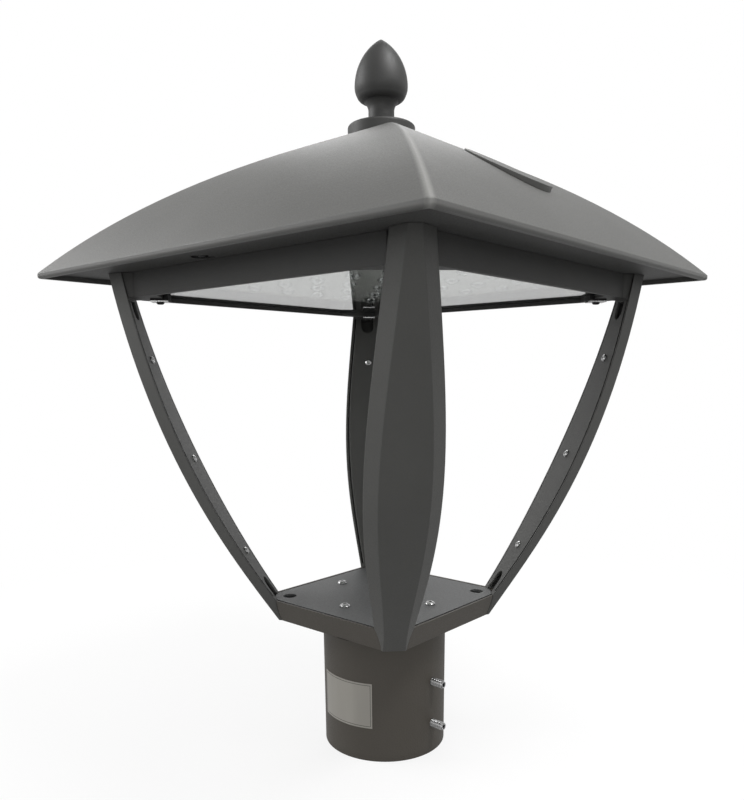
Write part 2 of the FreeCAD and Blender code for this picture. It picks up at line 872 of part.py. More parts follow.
# Terminal block on the floor of the box, with a well over each of its poles
well_base = box_floor_top + s.terminal_height / 2
wells = [cylinder(f"terminal_well_{n}", s.terminal_well, s.terminal_height, s.terminal_spacing * n,
                  s.terminal_offset, well_base) for n in (-1, 0, 1)]
node(cut("terminal_body", block("terminal_form", s.terminal_length, s.terminal_width, s.terminal_height,
                                0, s.terminal_offset, box_floor_top), *wells), "terminal_block")
terminal_screw_width = s.terminal_well - 2 * s.terminal_screw_gap
terminal_screw_parts = [cylinder(f"terminal_screw_{n}", terminal_screw_width, s.terminal_height / 4,
                                 s.terminal_spacing * n, s.terminal_offset, well_base)
                        for n in (-1, 0, 1)]
terminal_screw_group = doc.addObject("Part::Compound", "terminal_screw_group")
terminal_screw_group.Links = terminal_screw_parts
node(terminal_screw_group, "terminal_screws")

# Arms and their cover plates
doc.recompute()
arm_form = arm_shape()
cover_form = cover_shape()
corner_names = {45: "right", 135: "back", 225: "left", 315: "front"}
for degrees, corner_name in corner_names.items():
    spin = FreeCAD.Placement(vector(), FreeCAD.Rotation(vector(0, 0, 1), degrees))
    node(fixed_shape(f"arm_{degrees}", arm_form, spin), f"{corner_name}_arm")
    node(fixed_shape(f"cover_{degrees}", cover_form, spin), f"{corner_name}_arm_cover")
node(copies("cover_screw_group", small_screw, around(cover_screw_places(), diagonals)), "arm_cover_screws")
node(copies("head_bolt_group", medium_screw, around(head_bolt_places, diagonals)), "arm_head_bolts")
node(copies("foot_bolt_group", foot_bolt, around(foot_bolt_places, diagonals)), "arm_foot_bolts")

# Light frame: a square casting with cut corners, stepped inside for the clips, glass and tray
inner_half = frame_half - s.frame_wall
inner_corner = s.frame_corner - s.frame_wall
frame_outline = cut_square(frame_half, s.frame_corner)
shoulder_half = inner_half - s.shoulder_width
shoulder_corner = s.clip_boss_corner - s.shoulder_width
frame_screw_reach = inner_half - s.shoulder_width / 2
frame_screw_along = s.frame_screw_span / 2
frame_screw_spots = [(frame_screw_reach, side * frame_screw_along) for side in (-1, 1)]
all_frame_screw_spots = []
for x, y in frame_screw_spots:
    all_frame_screw_spots += [(x, y), (y, x), (-x, y), (y, -x)]
frame_screw_holes = [(x, y, s.medium_shank) for x, y in all_frame_screw_spots]
clip_screw_radius = s.clip_boss_corner + s.small_shank
clip_screw_spots = ring_points(clip_screw_radius, diagonals)
clip_screw_holes = [(x, y, s.small_shank) for x, y in clip_screw_spots]
open_inside = cut_square(inner_half, inner_corner)
clip_inside = cut_square(inner_half, s.clip_boss_corner)
shoulder_inside = cut_square(shoulder_half, shoulder_corner)
node(layered(
    "frame_casting",
    (s.frame_base, shoulder_base, [frame_outline, clip_inside], clip_screw_holes),
    (shoulder_base, tray_base, [frame_outline, shoulder_inside], frame_screw_holes),
    (tray_base, frame_top, [frame_outline, open_inside], []),
), "light_frame")

# Glass, its seal above, and a clip, pad and screw under each corner
pane_outline = cut_square(inner_half - s.seat_gap, s.clip_boss_corner - s.seat_gap)
node(layered("pane", (glass_base, glass_top, [pane_outline], [])), "glass")
node(layered("pane_seal", (glass_top, shoulder_base, [pane_outline, shoulder_inside], [])), "glass_gasket")
clip_inner = clip_screw_radius - s.clip_length / 2
pad_base = s.frame_base - s.pad_sheet
clip_base = pad_base - s.clip_sheet
clip_hole = cylinder("clip_hole", s.small_shank, frame_top, clip_screw_radius)
clip_form = cut("clip_form",
                block("clip_strip", s.clip_length, s.clip_width, s.clip_sheet,
                      clip_screw_radius, 0, clip_base),
                clip_hole)
pad_sole = cut("pad_sole",
               block("pad_strip", s.clip_length, s.clip_width, s.pad_sheet, clip_screw_radius, 0, pad_base),
               clip_hole)
pad_form = fuse("pad_form", pad_sole, block("pad_rise", s.pad_lip, s.clip_width, glass_base - s.frame_base,
                                            clip_inner + s.pad_lip / 2, 0, s.frame_base))
at_axis = [FreeCAD.Placement()]
node(copies("clip_group", clip_form, around(at_axis, diagonals)), "glass_clips")
node(copies("pad_group", pad_form, around(at_axis, diagonals)), "clip_pads")
clip_screw_places = facing([vector(float(clip_screw_radius), 0, float(clip_base))], vector(0, 0, -1))
node(copies("clip_screw_group", small_screw, around(clip_screw_places, diagonals)), "clip_screws")

# Light engine: tray, board and lenses face down; the driver stands on the tray's back
driver_foot_along = (s.driver_length + s.driver_foot) / 2
driver_foot_across = s.driver_width / 4
driver_screw_spots = [(x * driver_foot_along, y * driver_foot_across) for x in (-1, 1) for y in (-1, 1)]
board_screw_reach = s.board_side / 2 - s.small_head
board_screw_spots = ring_points(board_screw_reach * root_two, diagonals)
tray_holes = [(x, y, s.medium_shank) for x, y in all_frame_screw_spots]
tray_holes += [(x, y, s.small_shank) for x, y in driver_screw_spots + board_screw_spots]
node(layered("tray_plate", (tray_base, frame_top,
                            [cut_square(inner_half - s.seat_gap, inner_corner - s.seat_gap)], tray_holes)),
     "led_tray")
board_base = tray_base - s.board_sheet
board_holes = [(x, y, s.small_shank) for x, y in board_screw_spots]
node(layered("board_plate", (board_base, tray_base, [square(s.board_side / 2)], board_holes)), "led_board")
dome_rise = s.lens_height - s.lens_rim
dome_round = s.lens_width * s.lens_width / 8 / dome_rise + dome_rise / 2
lens_form = turned("lens_form", [
    (0, -s.lens_height, dome_round), (s.lens_width / 2, -s.lens_rim), (s.lens_width / 2, 0), (0, 0),
])
lens_count = 6
lens_run = float(s.board_side - 2 * s.lens_border)
lens_steps = [lens_run * (step / (lens_count - 1) - 0.5) for step in range(lens_count)]
lens_seats = [vector(x, y, float(board_base)) for x in lens_steps for y in lens_steps]
lens_places = facing(lens_seats, vector(0, 0, 1))
node(copies("lens_group", lens_form, lens_places), "led_lenses")
board_screw_seats = [vector(float(x), float(y), float(board_base)) for x, y in board_screw_spots]
node(copies("board_screw_group", small_screw, facing(board_screw_seats, vector(0, 0, -1))), "board_screws")
foot_top = frame_top + s.driver_foot_sheet
driver_sole = block("driver_sole", s.driver_length + 2 * s.driver_foot, s.driver_width, s.driver_foot_sheet,
                    0, 0, frame_top)
driver_holes = [cylinder(f"driver_hole_{n}", s.small_shank, foot_top, x, y)
                for n, (x, y) in enumerate(driver_screw_spots)]
driver_case = block("driver_case", s.driver_length, s.driver_width, s.driver_height, 0, 0, frame_top)
node(fuse("driver_body", cut("driver_feet", driver_sole, *driver_holes), driver_case), "led_driver")
driver_screw_seats = [vector(float(x), float(y), float(foot_top)) for x, y in driver_screw_spots]
driver_screw_places = facing(driver_screw_seats, vector(0, 0, 1))
node(copies("driver_screw_group", driver_screw, driver_screw_places), "driver_screws")

# Soffit plate that closes the roof and carries the light frame and the arms
soffit_reach = frame_half + s.soffit_screw_out
soffit_spots = [(s.soffit_screw_aside, soffit_reach), (-s.soffit_screw_aside, -soffit_reach)]
head_bolt_spots = [(placement.Base.x, placement.Base.y, s.medium_shank)
                   for placement in around(head_bolt_places, diagonals)]
plate_outlines = [square(rim_half - s.soffit_gap), square(s.soffit_opening / 2)]
plate_holes = frame_screw_holes + head_bolt_spots
recesses = [(x, y, s.soffit_recess_width) for x, y in soffit_spots]
soffit_screw_holes = [(x, y, s.medium_shank) for x, y in soffit_spots]
recess_top = frame_top + s.soffit_recess_depth
node(layered(
    "soffit_sheet_body",
    (frame_top, recess_top, plate_outlines, plate_holes + recesses),
    (recess_top, soffit_top, plate_outlines, plate_holes + soffit_screw_holes),
), "soffit_plate")
soffit_screw_seats = [vector(float(x), float(y), float(recess_top)) for x, y in soffit_spots]
soffit_screw_places = facing(soffit_screw_seats, vector(0, 0, -1))
node(copies("soffit_screw_group", medium_screw, soffit_screw_places), "soffit_screws")
frame_screw_seats = [vector(float(x), float(y), float(soffit_top)) for x, y in all_frame_screw_spots]
frame_screw_places = facing(frame_screw_seats, vector(0, 0, 1))
node(copies("frame_screw_group", medium_screw, frame_screw_places), "frame_screws")


# Roof profile from eave to crown: a curve set by its end points and its slope at each
class RoofProfile:
    def __init__(self):
        self.eave = vector(float(roof_half), 0, float(eave_top))
        self.crown = vector(float(s.roof_crown_side) / 2, 0, float(crown_top))
        eave_slope = math.tan(math.radians(float(s.roof_eave_slope)))
        crown_slope = math.tan(math.radians(float(s.roof_crown_slope)))
        run = self.eave.x - self.crown.x
        rise = self.crown.z - self.eave.z
        reach = (rise - crown_slope * run) / (eave_slope - crown_slope)
        self.knee = vector(self.eave.x - reach, 0, self.eave.z + reach * eave_slope)

    def curve(self):
        bend = Part.BezierCurve()
        bend.setPoles([self.eave, self.knee, self.crown])
        return bend

    # Height of the roof's outside at a distance from the axis
    def height(self, distance):
        square_term = self.eave.x - 2 * self.knee.x + self.crown.x
        linear_term = 2 * (self.knee.x - self.eave.x)
        rest = self.eave.x - distance
        root = math.sqrt(linear_term * linear_term - 4 * square_term * rest)
        share = 2 * rest / (-linear_term + root)
        keep = 1 - share
        return keep * keep * self.eave.z + 2 * keep * share * self.knee.z + share * share * self.crown.z


profile = RoofProfile()


# Where two like vaults cross: the solid under the roof's four panels
def vault(base):
    ends = [vector(-profile.eave.x, 0, base), vector(profile.eave.x, 0, base)]
    mirrored = profile.curve().toShape().mirror(vector(), vector(1, 0, 0))
    edges = [
        Part.makeLine(ends[0], ends[1]),
        Part.makeLine(ends[1], profile.eave),
        profile.curve().toShape(),
        Part.makeLine(profile.crown, vector(-profile.crown.x, 0, profile.crown.z)),
        mirrored,
        Part.makeLine(vector(-profile.eave.x, 0, profile.eave.z), ends[0]),
    ]
    face = Part.Face(Part.Wire(Part.__sortEdges__(edges)))
    length = 2 * profile.eave.x
    along_y = face.extrude(vector(0, length, 0))
    along_y.translate(vector(0, -length / 2, 0))
    along_x = along_y.copy()
    along_x.rotate(vector(), vector(0, 0, 1), 90)
    return along_y.common(along_x).removeSplitter()


# The hips and the corners of the lip, all on the diagonals
def hip_edges(shape):
    def on_diagonal(point):
        return abs(abs(point.x) - abs(point.y)) < 0.01
    return [edge for edge in shape.Edges if all(on_diagonal(v.Point) for v in edge.Vertexes)
            and abs(edge.Vertexes[0].Point.z - edge.Vertexes[-1].Point.z) > 0.1]


# The outer edges of the roof's underside
def eave_edges(shape):
    low = float(eave_base)
    return [edge for edge in shape.Edges if all(abs(v.Point.z - low) < 0.01 for v in edge.Vertexes)]


plain_vault = vault(float(eave_base))
rounded_vault = plain_vault.makeFillet(float(s.roof_hip_round), hip_edges(plain_vault))
rounded_vault = rounded_vault.makeFillet(float(s.roof_eave_round), eave_edges(rounded_vault))
roof_form = fixed_shape("roof_form", rounded_vault)
below_roof = FreeCAD.Placement(vector(0, 0, -float(s.roof_wall)), FreeCAD.Rotation())
room_side = 2 * (rim_half - s.roof_wall)
roof_room = common("roof_room", fixed_shape("lowered_vault", plain_vault, below_roof),
                   block("room_limit", room_side, room_side, crown_top - eave_base, 0, 0, eave_base))
post_forms = [cylinder(f"roof_post_form_{n}", s.roof_post_width, crown_top - soffit_top, x, y, soffit_top)
              for n, (x, y) in enumerate(soffit_spots)]
roof_posts = common("roof_posts", fuse("roof_post_forms", *post_forms), roof_form)
post_holes = [cylinder(f"roof_post_hole_{n}", s.medium_shank, s.medium_length, x, y, recess_top)
              for n, (x, y) in enumerate(soffit_spots)]

# Sensor cover: a flat round lid on one panel, shaped to the roof below, with a neck through it
sensor_angle = math.radians(float(s.sensor_tilt))
sensor_axis = vector(math.sin(sensor_angle), 0, math.cos(sensor_angle))
sensor_rotation = FreeCAD.Rotation(vector(0, 0, 1), sensor_axis)
sensor_distance = float(roof_half - s.sensor_inset)
sensor_foot = vector(sensor_distance, 0, profile.height(sensor_distance))


# A round bar on the sensor's axis, between two heights over the roof's surface
def sensor_bar(name, width, low, high):
    obj = doc.addObject("Part::Cylinder", name)
    bind(obj, Radius=width / 2, Height=as_size(high) - low)
    obj.Placement = FreeCAD.Placement(sensor_foot + sensor_axis * float(low), sensor_rotation)
    return obj


neck_end = -(s.roof_wall + s.sensor_nut_height + s.roof_wall)
sensor_disc = sensor_bar("sensor_disc", s.sensor_width, -s.sensor_nut_height, s.sensor_proud)
sensor_neck = sensor_bar("sensor_neck", s.sensor_neck_width, neck_end, s.sensor_proud)
node(fuse("sensor_body", cut("sensor_lid", sensor_disc, roof_form), sensor_neck), "sensor_cover")
nut_blank = cut("sensor_nut_blank",
                sensor_bar("sensor_nut_disc", s.sensor_nut_width, neck_end, as_size(0)),
                sensor_bar("sensor_nut_bore", s.sensor_neck_width, neck_end - overshoot, s.sensor_proud))
node(common("sensor_nut_body", nut_blank, roof_room), "sensor_nut")

# Roof shell
rim_seat = block("rim_seat", 2 * rim_half, 2 * rim_half, soffit_top - eave_base + overshoot,
                 0, 0, eave_base - overshoot)
stud_way = cylinder("stud_way", s.stud_width, s.roof_wall * 3, 0, 0, crown_top - s.roof_wall * 2)
sensor_way = sensor_bar("sensor_way", s.sensor_neck_width, -s.roof_wall * 3, s.sensor_proud)
shell = cut("roof_shell", roof_form, roof_room, rim_seat)
roof_with_posts = fuse("roof_with_posts", shell, roof_posts)
node(cut("roof_body", roof_with_posts, stud_way, sensor_way, *post_holes), "roof_canopy")

# Collar and finial on the crown, held by a stud and nut
collar_base = crown_top - s.collar_proud
collar_half = s.collar_width / 2
stud_half = s.stud_width / 2
collar_blank = turned("collar_blank", [
    (stud_half, collar_base), (collar_half, collar_base),
    (collar_half, collar_top - s.collar_round, s.collar_round),
    (collar_half - s.collar_round, collar_top), (stud_half, collar_top),
])
node(cut("collar_body", collar_blank, roof_form), "finial_collar")
stud_top = collar_top + s.stud_grip
neck_half = s.finial_neck_width / 2
cove_half = s.finial_cove_width / 2
shoulder_half_width = s.finial_shoulder_width / 2
belly_half = s.finial_width / 2
tip_half = s.finial_tip_width / 2
cove_round = upright_round(cove_half - neck_half, s.finial_cove_height - s.finial_neck_height)
lower_round = upright_round(belly_half - shoulder_half_width,
                            s.finial_belly_height - s.finial_shoulder_height)
upper_round = upright_round(belly_half - tip_half, s.finial_height - s.finial_belly_height)
node(turned("finial_turning", [
    (stud_half, collar_top), (neck_half, collar_top),
    (neck_half, collar_top + s.finial_neck_height, -cove_round),
    (cove_half, collar_top + s.finial_cove_height, s.finial_shoulder_round),
    (shoulder_half_width, collar_top + s.finial_shoulder_height, lower_round),
    (belly_half, collar_top + s.finial_belly_height, upper_round),
    (tip_half, collar_top + s.finial_height), (0, collar_top + s.finial_height),
    (0, stud_top), (stud_half, stud_top),
]), "finial")
stud_base = crown_top - s.roof_wall - s.nut_height - s.roof_wall
node(cylinder("stud", s.stud_width, stud_top - stud_base, 0, 0, stud_base), "finial_stud")
nut_blank_form = doc.addObject("Part::Prism", "nut_blank_form")
nut_blank_form.Polygon = 6
nut_base = crown_top - s.roof_wall - s.nut_height
bind(nut_blank_form, Circumradius=s.nut_width / math.sqrt(3), Height=s.nut_height)
place(nut_blank_form, z=nut_base)
node(cut("nut_body", nut_blank_form, cylinder("nut_bore", s.stud_width, crown_top)), "finial_nut")


def check_and_export():
    doc.recompute()
    faults = [obj.Name for obj in doc.Objects if "Invalid" in obj.State or "Error" in obj.State]
    faults += [obj.Label for obj in nodes if obj.Shape.isNull() or not obj.Shape.isValid()]
    if faults:
        raise RuntimeError(f"faulty objects: {faults}")
    os.makedirs("parts", exist_ok=True)
    for obj in nodes:
        obj.Shape.exportStep(f"parts/{obj.Label}.step")
        print(f"{obj.Label}: {len(obj.Shape.Solids)} solids, {obj.Shape.Volume / 1000:.1f} cm3")


check_and_export()
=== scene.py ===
import math

import bmesh
import bpy
from mathutils import Matrix, Vector


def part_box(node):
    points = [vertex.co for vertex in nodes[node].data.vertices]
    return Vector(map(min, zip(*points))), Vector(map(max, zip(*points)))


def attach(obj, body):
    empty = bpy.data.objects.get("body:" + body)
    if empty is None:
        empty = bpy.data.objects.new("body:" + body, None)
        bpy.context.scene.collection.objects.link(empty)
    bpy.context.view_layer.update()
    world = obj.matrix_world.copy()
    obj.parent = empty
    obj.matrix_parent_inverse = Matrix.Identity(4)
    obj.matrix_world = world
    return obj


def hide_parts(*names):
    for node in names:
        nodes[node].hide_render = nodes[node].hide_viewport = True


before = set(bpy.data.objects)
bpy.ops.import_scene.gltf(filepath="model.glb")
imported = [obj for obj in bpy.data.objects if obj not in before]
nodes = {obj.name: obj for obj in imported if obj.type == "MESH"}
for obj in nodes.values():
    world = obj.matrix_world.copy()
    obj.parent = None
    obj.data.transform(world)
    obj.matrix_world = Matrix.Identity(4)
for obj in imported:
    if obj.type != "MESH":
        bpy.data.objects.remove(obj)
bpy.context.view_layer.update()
scene = bpy.context.scene
scene.view_settings.view_transform = "Standard"
print("stage: frame loaded,", len(nodes), "nodes")


# Camera, at the photograph's place
cameraSet = {
    "distance": 0.8097,    # from the lantern's axis, metres
    "azimuth": 40.28,      # degrees from the -Y side towards +X
    "height": 0.3842,
    "yaw": 0.82,           # degrees that it looks to the left of the axis
    "pitch": 1.92,         # degrees downwards
    "roll": -0.35,
    "focalPixels": 765.7,
    "imageHeight": 800,    # the longer side of the picture, pixels
    "sensor": 36.0,
    "clipStart": 0.01,
}


def makeCamera(c):
    data = bpy.data.cameras.new("camera")
    data.sensor_width = c["sensor"]
    data.lens = c["focalPixels"] * c["sensor"] / c["imageHeight"]
    data.clip_start = c["clipStart"]
    azimuth = math.radians(c["azimuth"])
    heading = azimuth + math.radians(c["yaw"])
    pitch = math.radians(c["pitch"])
    right = Vector((math.cos(heading), math.sin(heading), 0))
    level = Vector((-math.sin(heading), math.cos(heading), 0))
    forward = level * math.cos(pitch) - Vector((0, 0, math.sin(pitch)))
    up = right.cross(forward)
    turn = Matrix((right, up, -forward)).transposed() @ Matrix.Rotation(math.radians(c["roll"]), 3, "Z")
    camera = bpy.data.objects.new("camera", data)
    place = Vector((math.sin(azimuth) * c["distance"], -math.cos(azimuth) * c["distance"], c["height"]))
    camera.matrix_world = Matrix.Translation(place) @ turn.to_4x4()
    scene.collection.objects.link(camera)
    scene.camera = camera


makeCamera(cameraSet)
print("stage: camera")


# Small helpers for node trees
def newGroup(name, treeType, inputs, outputs):
    group = bpy.data.node_groups.new(name, treeType)
    for label, kind, value in inputs:
        socket = group.interface.new_socket(label, in_out="INPUT", socket_type=kind)
        if value is not None:
            socket.default_value = value
    for label, kind in outputs:
        group.interface.new_socket(label, in_out="OUTPUT", socket_type=kind)
    return group, group.nodes.new("NodeGroupInput"), group.nodes.new("NodeGroupOutput")


def addNode(tree, kind, links=None, **settings):
    item = tree.nodes.new(kind)
    for key, value in settings.items():
        setattr(item, key, value)
    for socket, source in (links or {}).items():
        target = item.inputs[socket]
        if isinstance(source, bpy.types.NodeSocket):
            tree.links.new(source, target)
        else:
            target.default_value = source
    return item


def mathNode(tree, operation, first, second=0.0):
    return addNode(tree, "ShaderNodeMath", {0: first, 1: second}, operation=operation).outputs[0]


def remap(tree, value, low, high, newLow, newHigh):
    links = {"Value": value, "From Min": low, "From Max": high, "To Min": newLow, "To Max": newHigh}
    return addNode(tree, "ShaderNodeMapRange", links).outputs["Result"]


def mixColour(tree, factor, first, second):
    item = addNode(tree, "ShaderNodeMix", data_type="RGBA")
    for socket, source in ((item.inputs[0], factor), (item.inputs[6], first), (item.inputs[7], second)):
        if isinstance(source, bpy.types.NodeSocket):
            tree.links.new(source, socket)
        else:
            socket.default_value = source
    return item.outputs[2]


# A written tone, 0 to 255, as the linear colour that a socket takes
def linear(grey):
    channels = grey if isinstance(grey, tuple) else (grey, grey, grey)
    values = [(c / 255 / 12.92) if c <= 10 else ((c / 255 + 0.055) / 1.055) ** 2.4 for c in channels]
    return (*values, 1.0)


# Powder coat grain: a fine orange peel with soft pits, and a slow drift of tone
powderSet = {
    "peelScale": 900.0,
    "peelDetail": 3.0,
    "peelRough": 0.55,
    "peelShare": 0.6,         # of the grain's height
    "pitScale": 520.0,
    "pitSoftness": 0.6,
    "pitShare": 0.55,
    "driftScale": 7.0,
    "driftDetail": 4.0,
    "driftRough": 0.6,
    "driftSpan": (0.3, 0.7),  # noise values that become the lowest and highest drift
    "speckSpan": (0.35, 0.7),
}


def makePowderGrain(c):
    group, given, result = newGroup(
        "powderGrain", "ShaderNodeTree",
        [("Peel Scale", "NodeSocketFloat", c["peelScale"]), ("Pit Scale", "NodeSocketFloat", c["pitScale"]),
         ("Drift Scale", "NodeSocketFloat", c["driftScale"])],
        [("Height", "NodeSocketFloat"), ("Drift", "NodeSocketFloat"), ("Speck", "NodeSocketFloat")])
    place = addNode(group, "ShaderNodeTexCoord").outputs["Object"]
    peel = addNode(group, "ShaderNodeTexNoise", {"Vector": place, "Scale": given.outputs["Peel Scale"],
                                                 "Detail": c["peelDetail"], "Roughness": c["peelRough"]})
    pits = addNode(group, "ShaderNodeTexVoronoi", {"Vector": place, "Scale": given.outputs["Pit Scale"],
                                                   "Smoothness": c["pitSoftness"]}, feature="SMOOTH_F1")
    drift = addNode(group, "ShaderNodeTexNoise", {"Vector": place, "Scale": given.outputs["Drift Scale"],
                                                  "Detail": c["driftDetail"], "Roughness": c["driftRough"]})
    raised = mathNode(group, "MULTIPLY", peel.outputs["Fac"], c["peelShare"])
    dimpled = mathNode(group, "MULTIPLY", pits.outputs["Distance"], c["pitShare"])
    group.links.new(mathNode(group, "ADD", raised, dimpled), result.inputs["Height"])
    group.links.new(remap(group, drift.outputs["Fac"], *c["driftSpan"], 0.0, 1.0), result.inputs["Drift"])
    group.links.new(remap(group, peel.outputs["Fac"], *c["speckSpan"], 0.0, 1.0), result.inputs["Speck"])
    return group


# Rounded edges: a normal that eases over each edge, and a mask of where it does
edgeSet = {
    "radius": 0.001,
    "samples": 6,
    "turnSpan": (0.995, 0.86),  # cosines of the turn at which the mask starts and is full
}


def makeEasedEdge(c):
    group, given, result = newGroup(
        "easedEdge", "ShaderNodeTree", [("Radius", "NodeSocketFloat", c["radius"])],
        [("Normal", "NodeSocketVector"), ("Edge", "NodeSocketFloat")])
    eased = addNode(group, "ShaderNodeBevel", {"Radius": given.outputs["Radius"]}, samples=c["samples"])
    true = addNode(group, "ShaderNodeNewGeometry").outputs["Normal"]
    along = addNode(group, "ShaderNodeVectorMath", {0: eased.outputs[0], 1: true}, operation="DOT_PRODUCT")
    group.links.new(eased.outputs[0], result.inputs["Normal"])
    group.links.new(remap(group, along.outputs["Value"], *c["turnSpan"], 0.0, 1.0), result.inputs["Edge"])
    return group


# Painted shade in crevices: a mask that rises where a surface is closed in by what stands near it, which
# darkens the tone there
creviceShadeSet = {
    "reach": 0.02,
    "samples": 6,
    "openSpan": (0.45, 0.12),   # open shares at which the mask starts and is full
}


def makeCreviceShade(c):
    group, given, result = newGroup("creviceShade", "ShaderNodeTree", [("Reach", "NodeSocketFloat", c["reach"])],
                                    [("Mask", "NodeSocketFloat")])
    space = addNode(group, "ShaderNodeAmbientOcclusion", {"Distance": given.outputs["Reach"]},
                    samples=c["samples"])
    group.links.new(remap(group, space.outputs["AO"], *c["openSpan"], 0.0, 1.0), result.inputs["Mask"])
    return group


# Painted highlight along the hips of the square roof: a mask along both diagonals that widens towards the
# corners
hipHighlightSet = {
    "halfWidth": 0.006,
    "start": 0.06,              # distances from the axis between which it widens
    "end": 0.24,
    "narrowShare": 0.35,        # of its width and strength at the start
}


def makeHipHighlightBand(c):
    group, given, result = newGroup(
        "hipHighlightBand", "ShaderNodeTree",
        [("Half Width", "NodeSocketFloat", c["halfWidth"]), ("Start", "NodeSocketFloat", c["start"]),
         ("End", "NodeSocketFloat", c["end"])],
        [("Mask", "NodeSocketFloat")])
    place = addNode(group, "ShaderNodeTexCoord").outputs["Object"]
    at = addNode(group, "ShaderNodeSeparateXYZ", {0: place}).outputs
    first = mathNode(group, "ABSOLUTE", at["X"])
    second = mathNode(group, "ABSOLUTE", at["Y"])
    aside = mathNode(group, "ABSOLUTE", mathNode(group, "SUBTRACT", first, second))
    out = remap(group, first, given.outputs["Start"], given.outputs["End"], c["narrowShare"], 1.0)
    near = remap(group, aside, 0.0, mathNode(group, "MULTIPLY", given.outputs["Half Width"], out), 1.0, 0.0)
    group.links.new(mathNode(group, "MULTIPLY", near, out), result.inputs["Mask"])
    return group


# Fine uneven grain of rolled or turned metal, of a moulding or of a film
grainSet = {
    "scale": 1500.0,
    "detail": 2.0,
    "rough": 0.5,
    "smearScale": 60.0,
    "smearDetail": 3.0,
    "smearRough": 0.6,
    "smearSpan": (0.3, 0.7),    # noise values that become the lowest and highest smear
}


def makeFineGrain(c):
    group, given, result = newGroup(
        "fineGrain", "ShaderNodeTree",
        [("Scale", "NodeSocketFloat", c["scale"]), ("Stretch", "NodeSocketVector", (1.0, 1.0, 1.0))],
        [("Height", "NodeSocketFloat"), ("Smear", "NodeSocketFloat")])
    place = addNode(group, "ShaderNodeTexCoord").outputs["Object"]
    drawn = addNode(group, "ShaderNodeVectorMath", {0: place, 1: given.outputs["Stretch"]},
                    operation="MULTIPLY").outputs[0]
    grain = addNode(group, "ShaderNodeTexNoise", {"Vector": drawn, "Scale": given.outputs["Scale"],
                                                  "Detail": c["detail"], "Roughness": c["rough"]})
    smear = addNode(group, "ShaderNodeTexNoise", {"Vector": drawn, "Scale": c["smearScale"],
                                                  "Detail": c["smearDetail"], "Roughness": c["smearRough"]})
    group.links.new(grain.outputs["Fac"], result.inputs["Height"])
    group.links.new(remap(group, smear.outputs["Fac"], *c["smearSpan"], 0.0, 1.0), result.inputs["Smear"])
    return group


powderGrain = makePowderGrain(powderSet)
easedEdge = makeEasedEdge(edgeSet)
creviceShade = makeCreviceShade(creviceShadeSet)
hipHighlightBand = makeHipHighlightBand(hipHighlightSet)
fineGrain = makeFineGrain(grainSet)
print("stage: shared effects")


def newMaterial(name):
    material = bpy.data.materials.new(name)
    material.use_nodes = True
    tree = material.node_tree
    tree.nodes.clear()
    shader = addNode(tree, "ShaderNodeBsdfPrincipled")
    addNode(tree, "ShaderNodeOutputMaterial", {"Surface": shader.outputs[0]})
    return material, tree, shader


def scaled(colour, share):
    return (*[channel * share for channel in colour[:3]], 1.0)


def dress(material, *nodeNames):
    for nodeName in nodeNames:
        mesh = nodes[nodeName].data
        mesh.materials.clear()
        mesh.materials.append(material)


# Dark grey powder coat: one finish, with each casting's tone set lighter or darker as painted light and shade
# for how brightly it is lit
coatSet = {
    "roof": {"colour": (92, 92, 90), "grain": 0.00020, "edge": 0.0012, "gloss": 0.45, "hips": True},
    "soffit": {"colour": (78, 78, 77), "grain": 0.00016, "edge": 0.0011, "gloss": 0.15},
    "arm": {"colour": (78, 78, 76), "grain": 0.00016, "edge": 0.0014, "gloss": 0.35},
    "lid": {"colour": (86, 87, 87), "grain": 0.00012, "edge": 0.0009, "gloss": 0.50},
    "base": {"colour": (74, 70, 64), "grain": 0.00016, "edge": 0.0009, "gloss": 0.38},
    "finial": {"colour": (54, 54, 53), "grain": 0.00007, "edge": 0.0008, "gloss": 0.42},
}
# Painted light on the coat: a highlight over edges and along the roof's hips, and shade in gaps and slots;
# with its drift, roughness and bump
coatWearAndPaintedLight = {
    "roughLow": 0.46,
    "roughHigh": 0.62,
    "edgeWearAndHighlight": 1.10,      # how much paler the coat is over an edge: a painted highlight where the edge catches light, and partly the coat thinning there
    "drift": 0.07,         # share by which its tone drifts
    "hipHighlightLift": 2.3,        # painted highlight: how much paler it is along the roof's hips
    "creviceShadeTone": 0.12,   # painted shade: share of its tone that is left in gaps and slots
    "bump": 0.6,
}


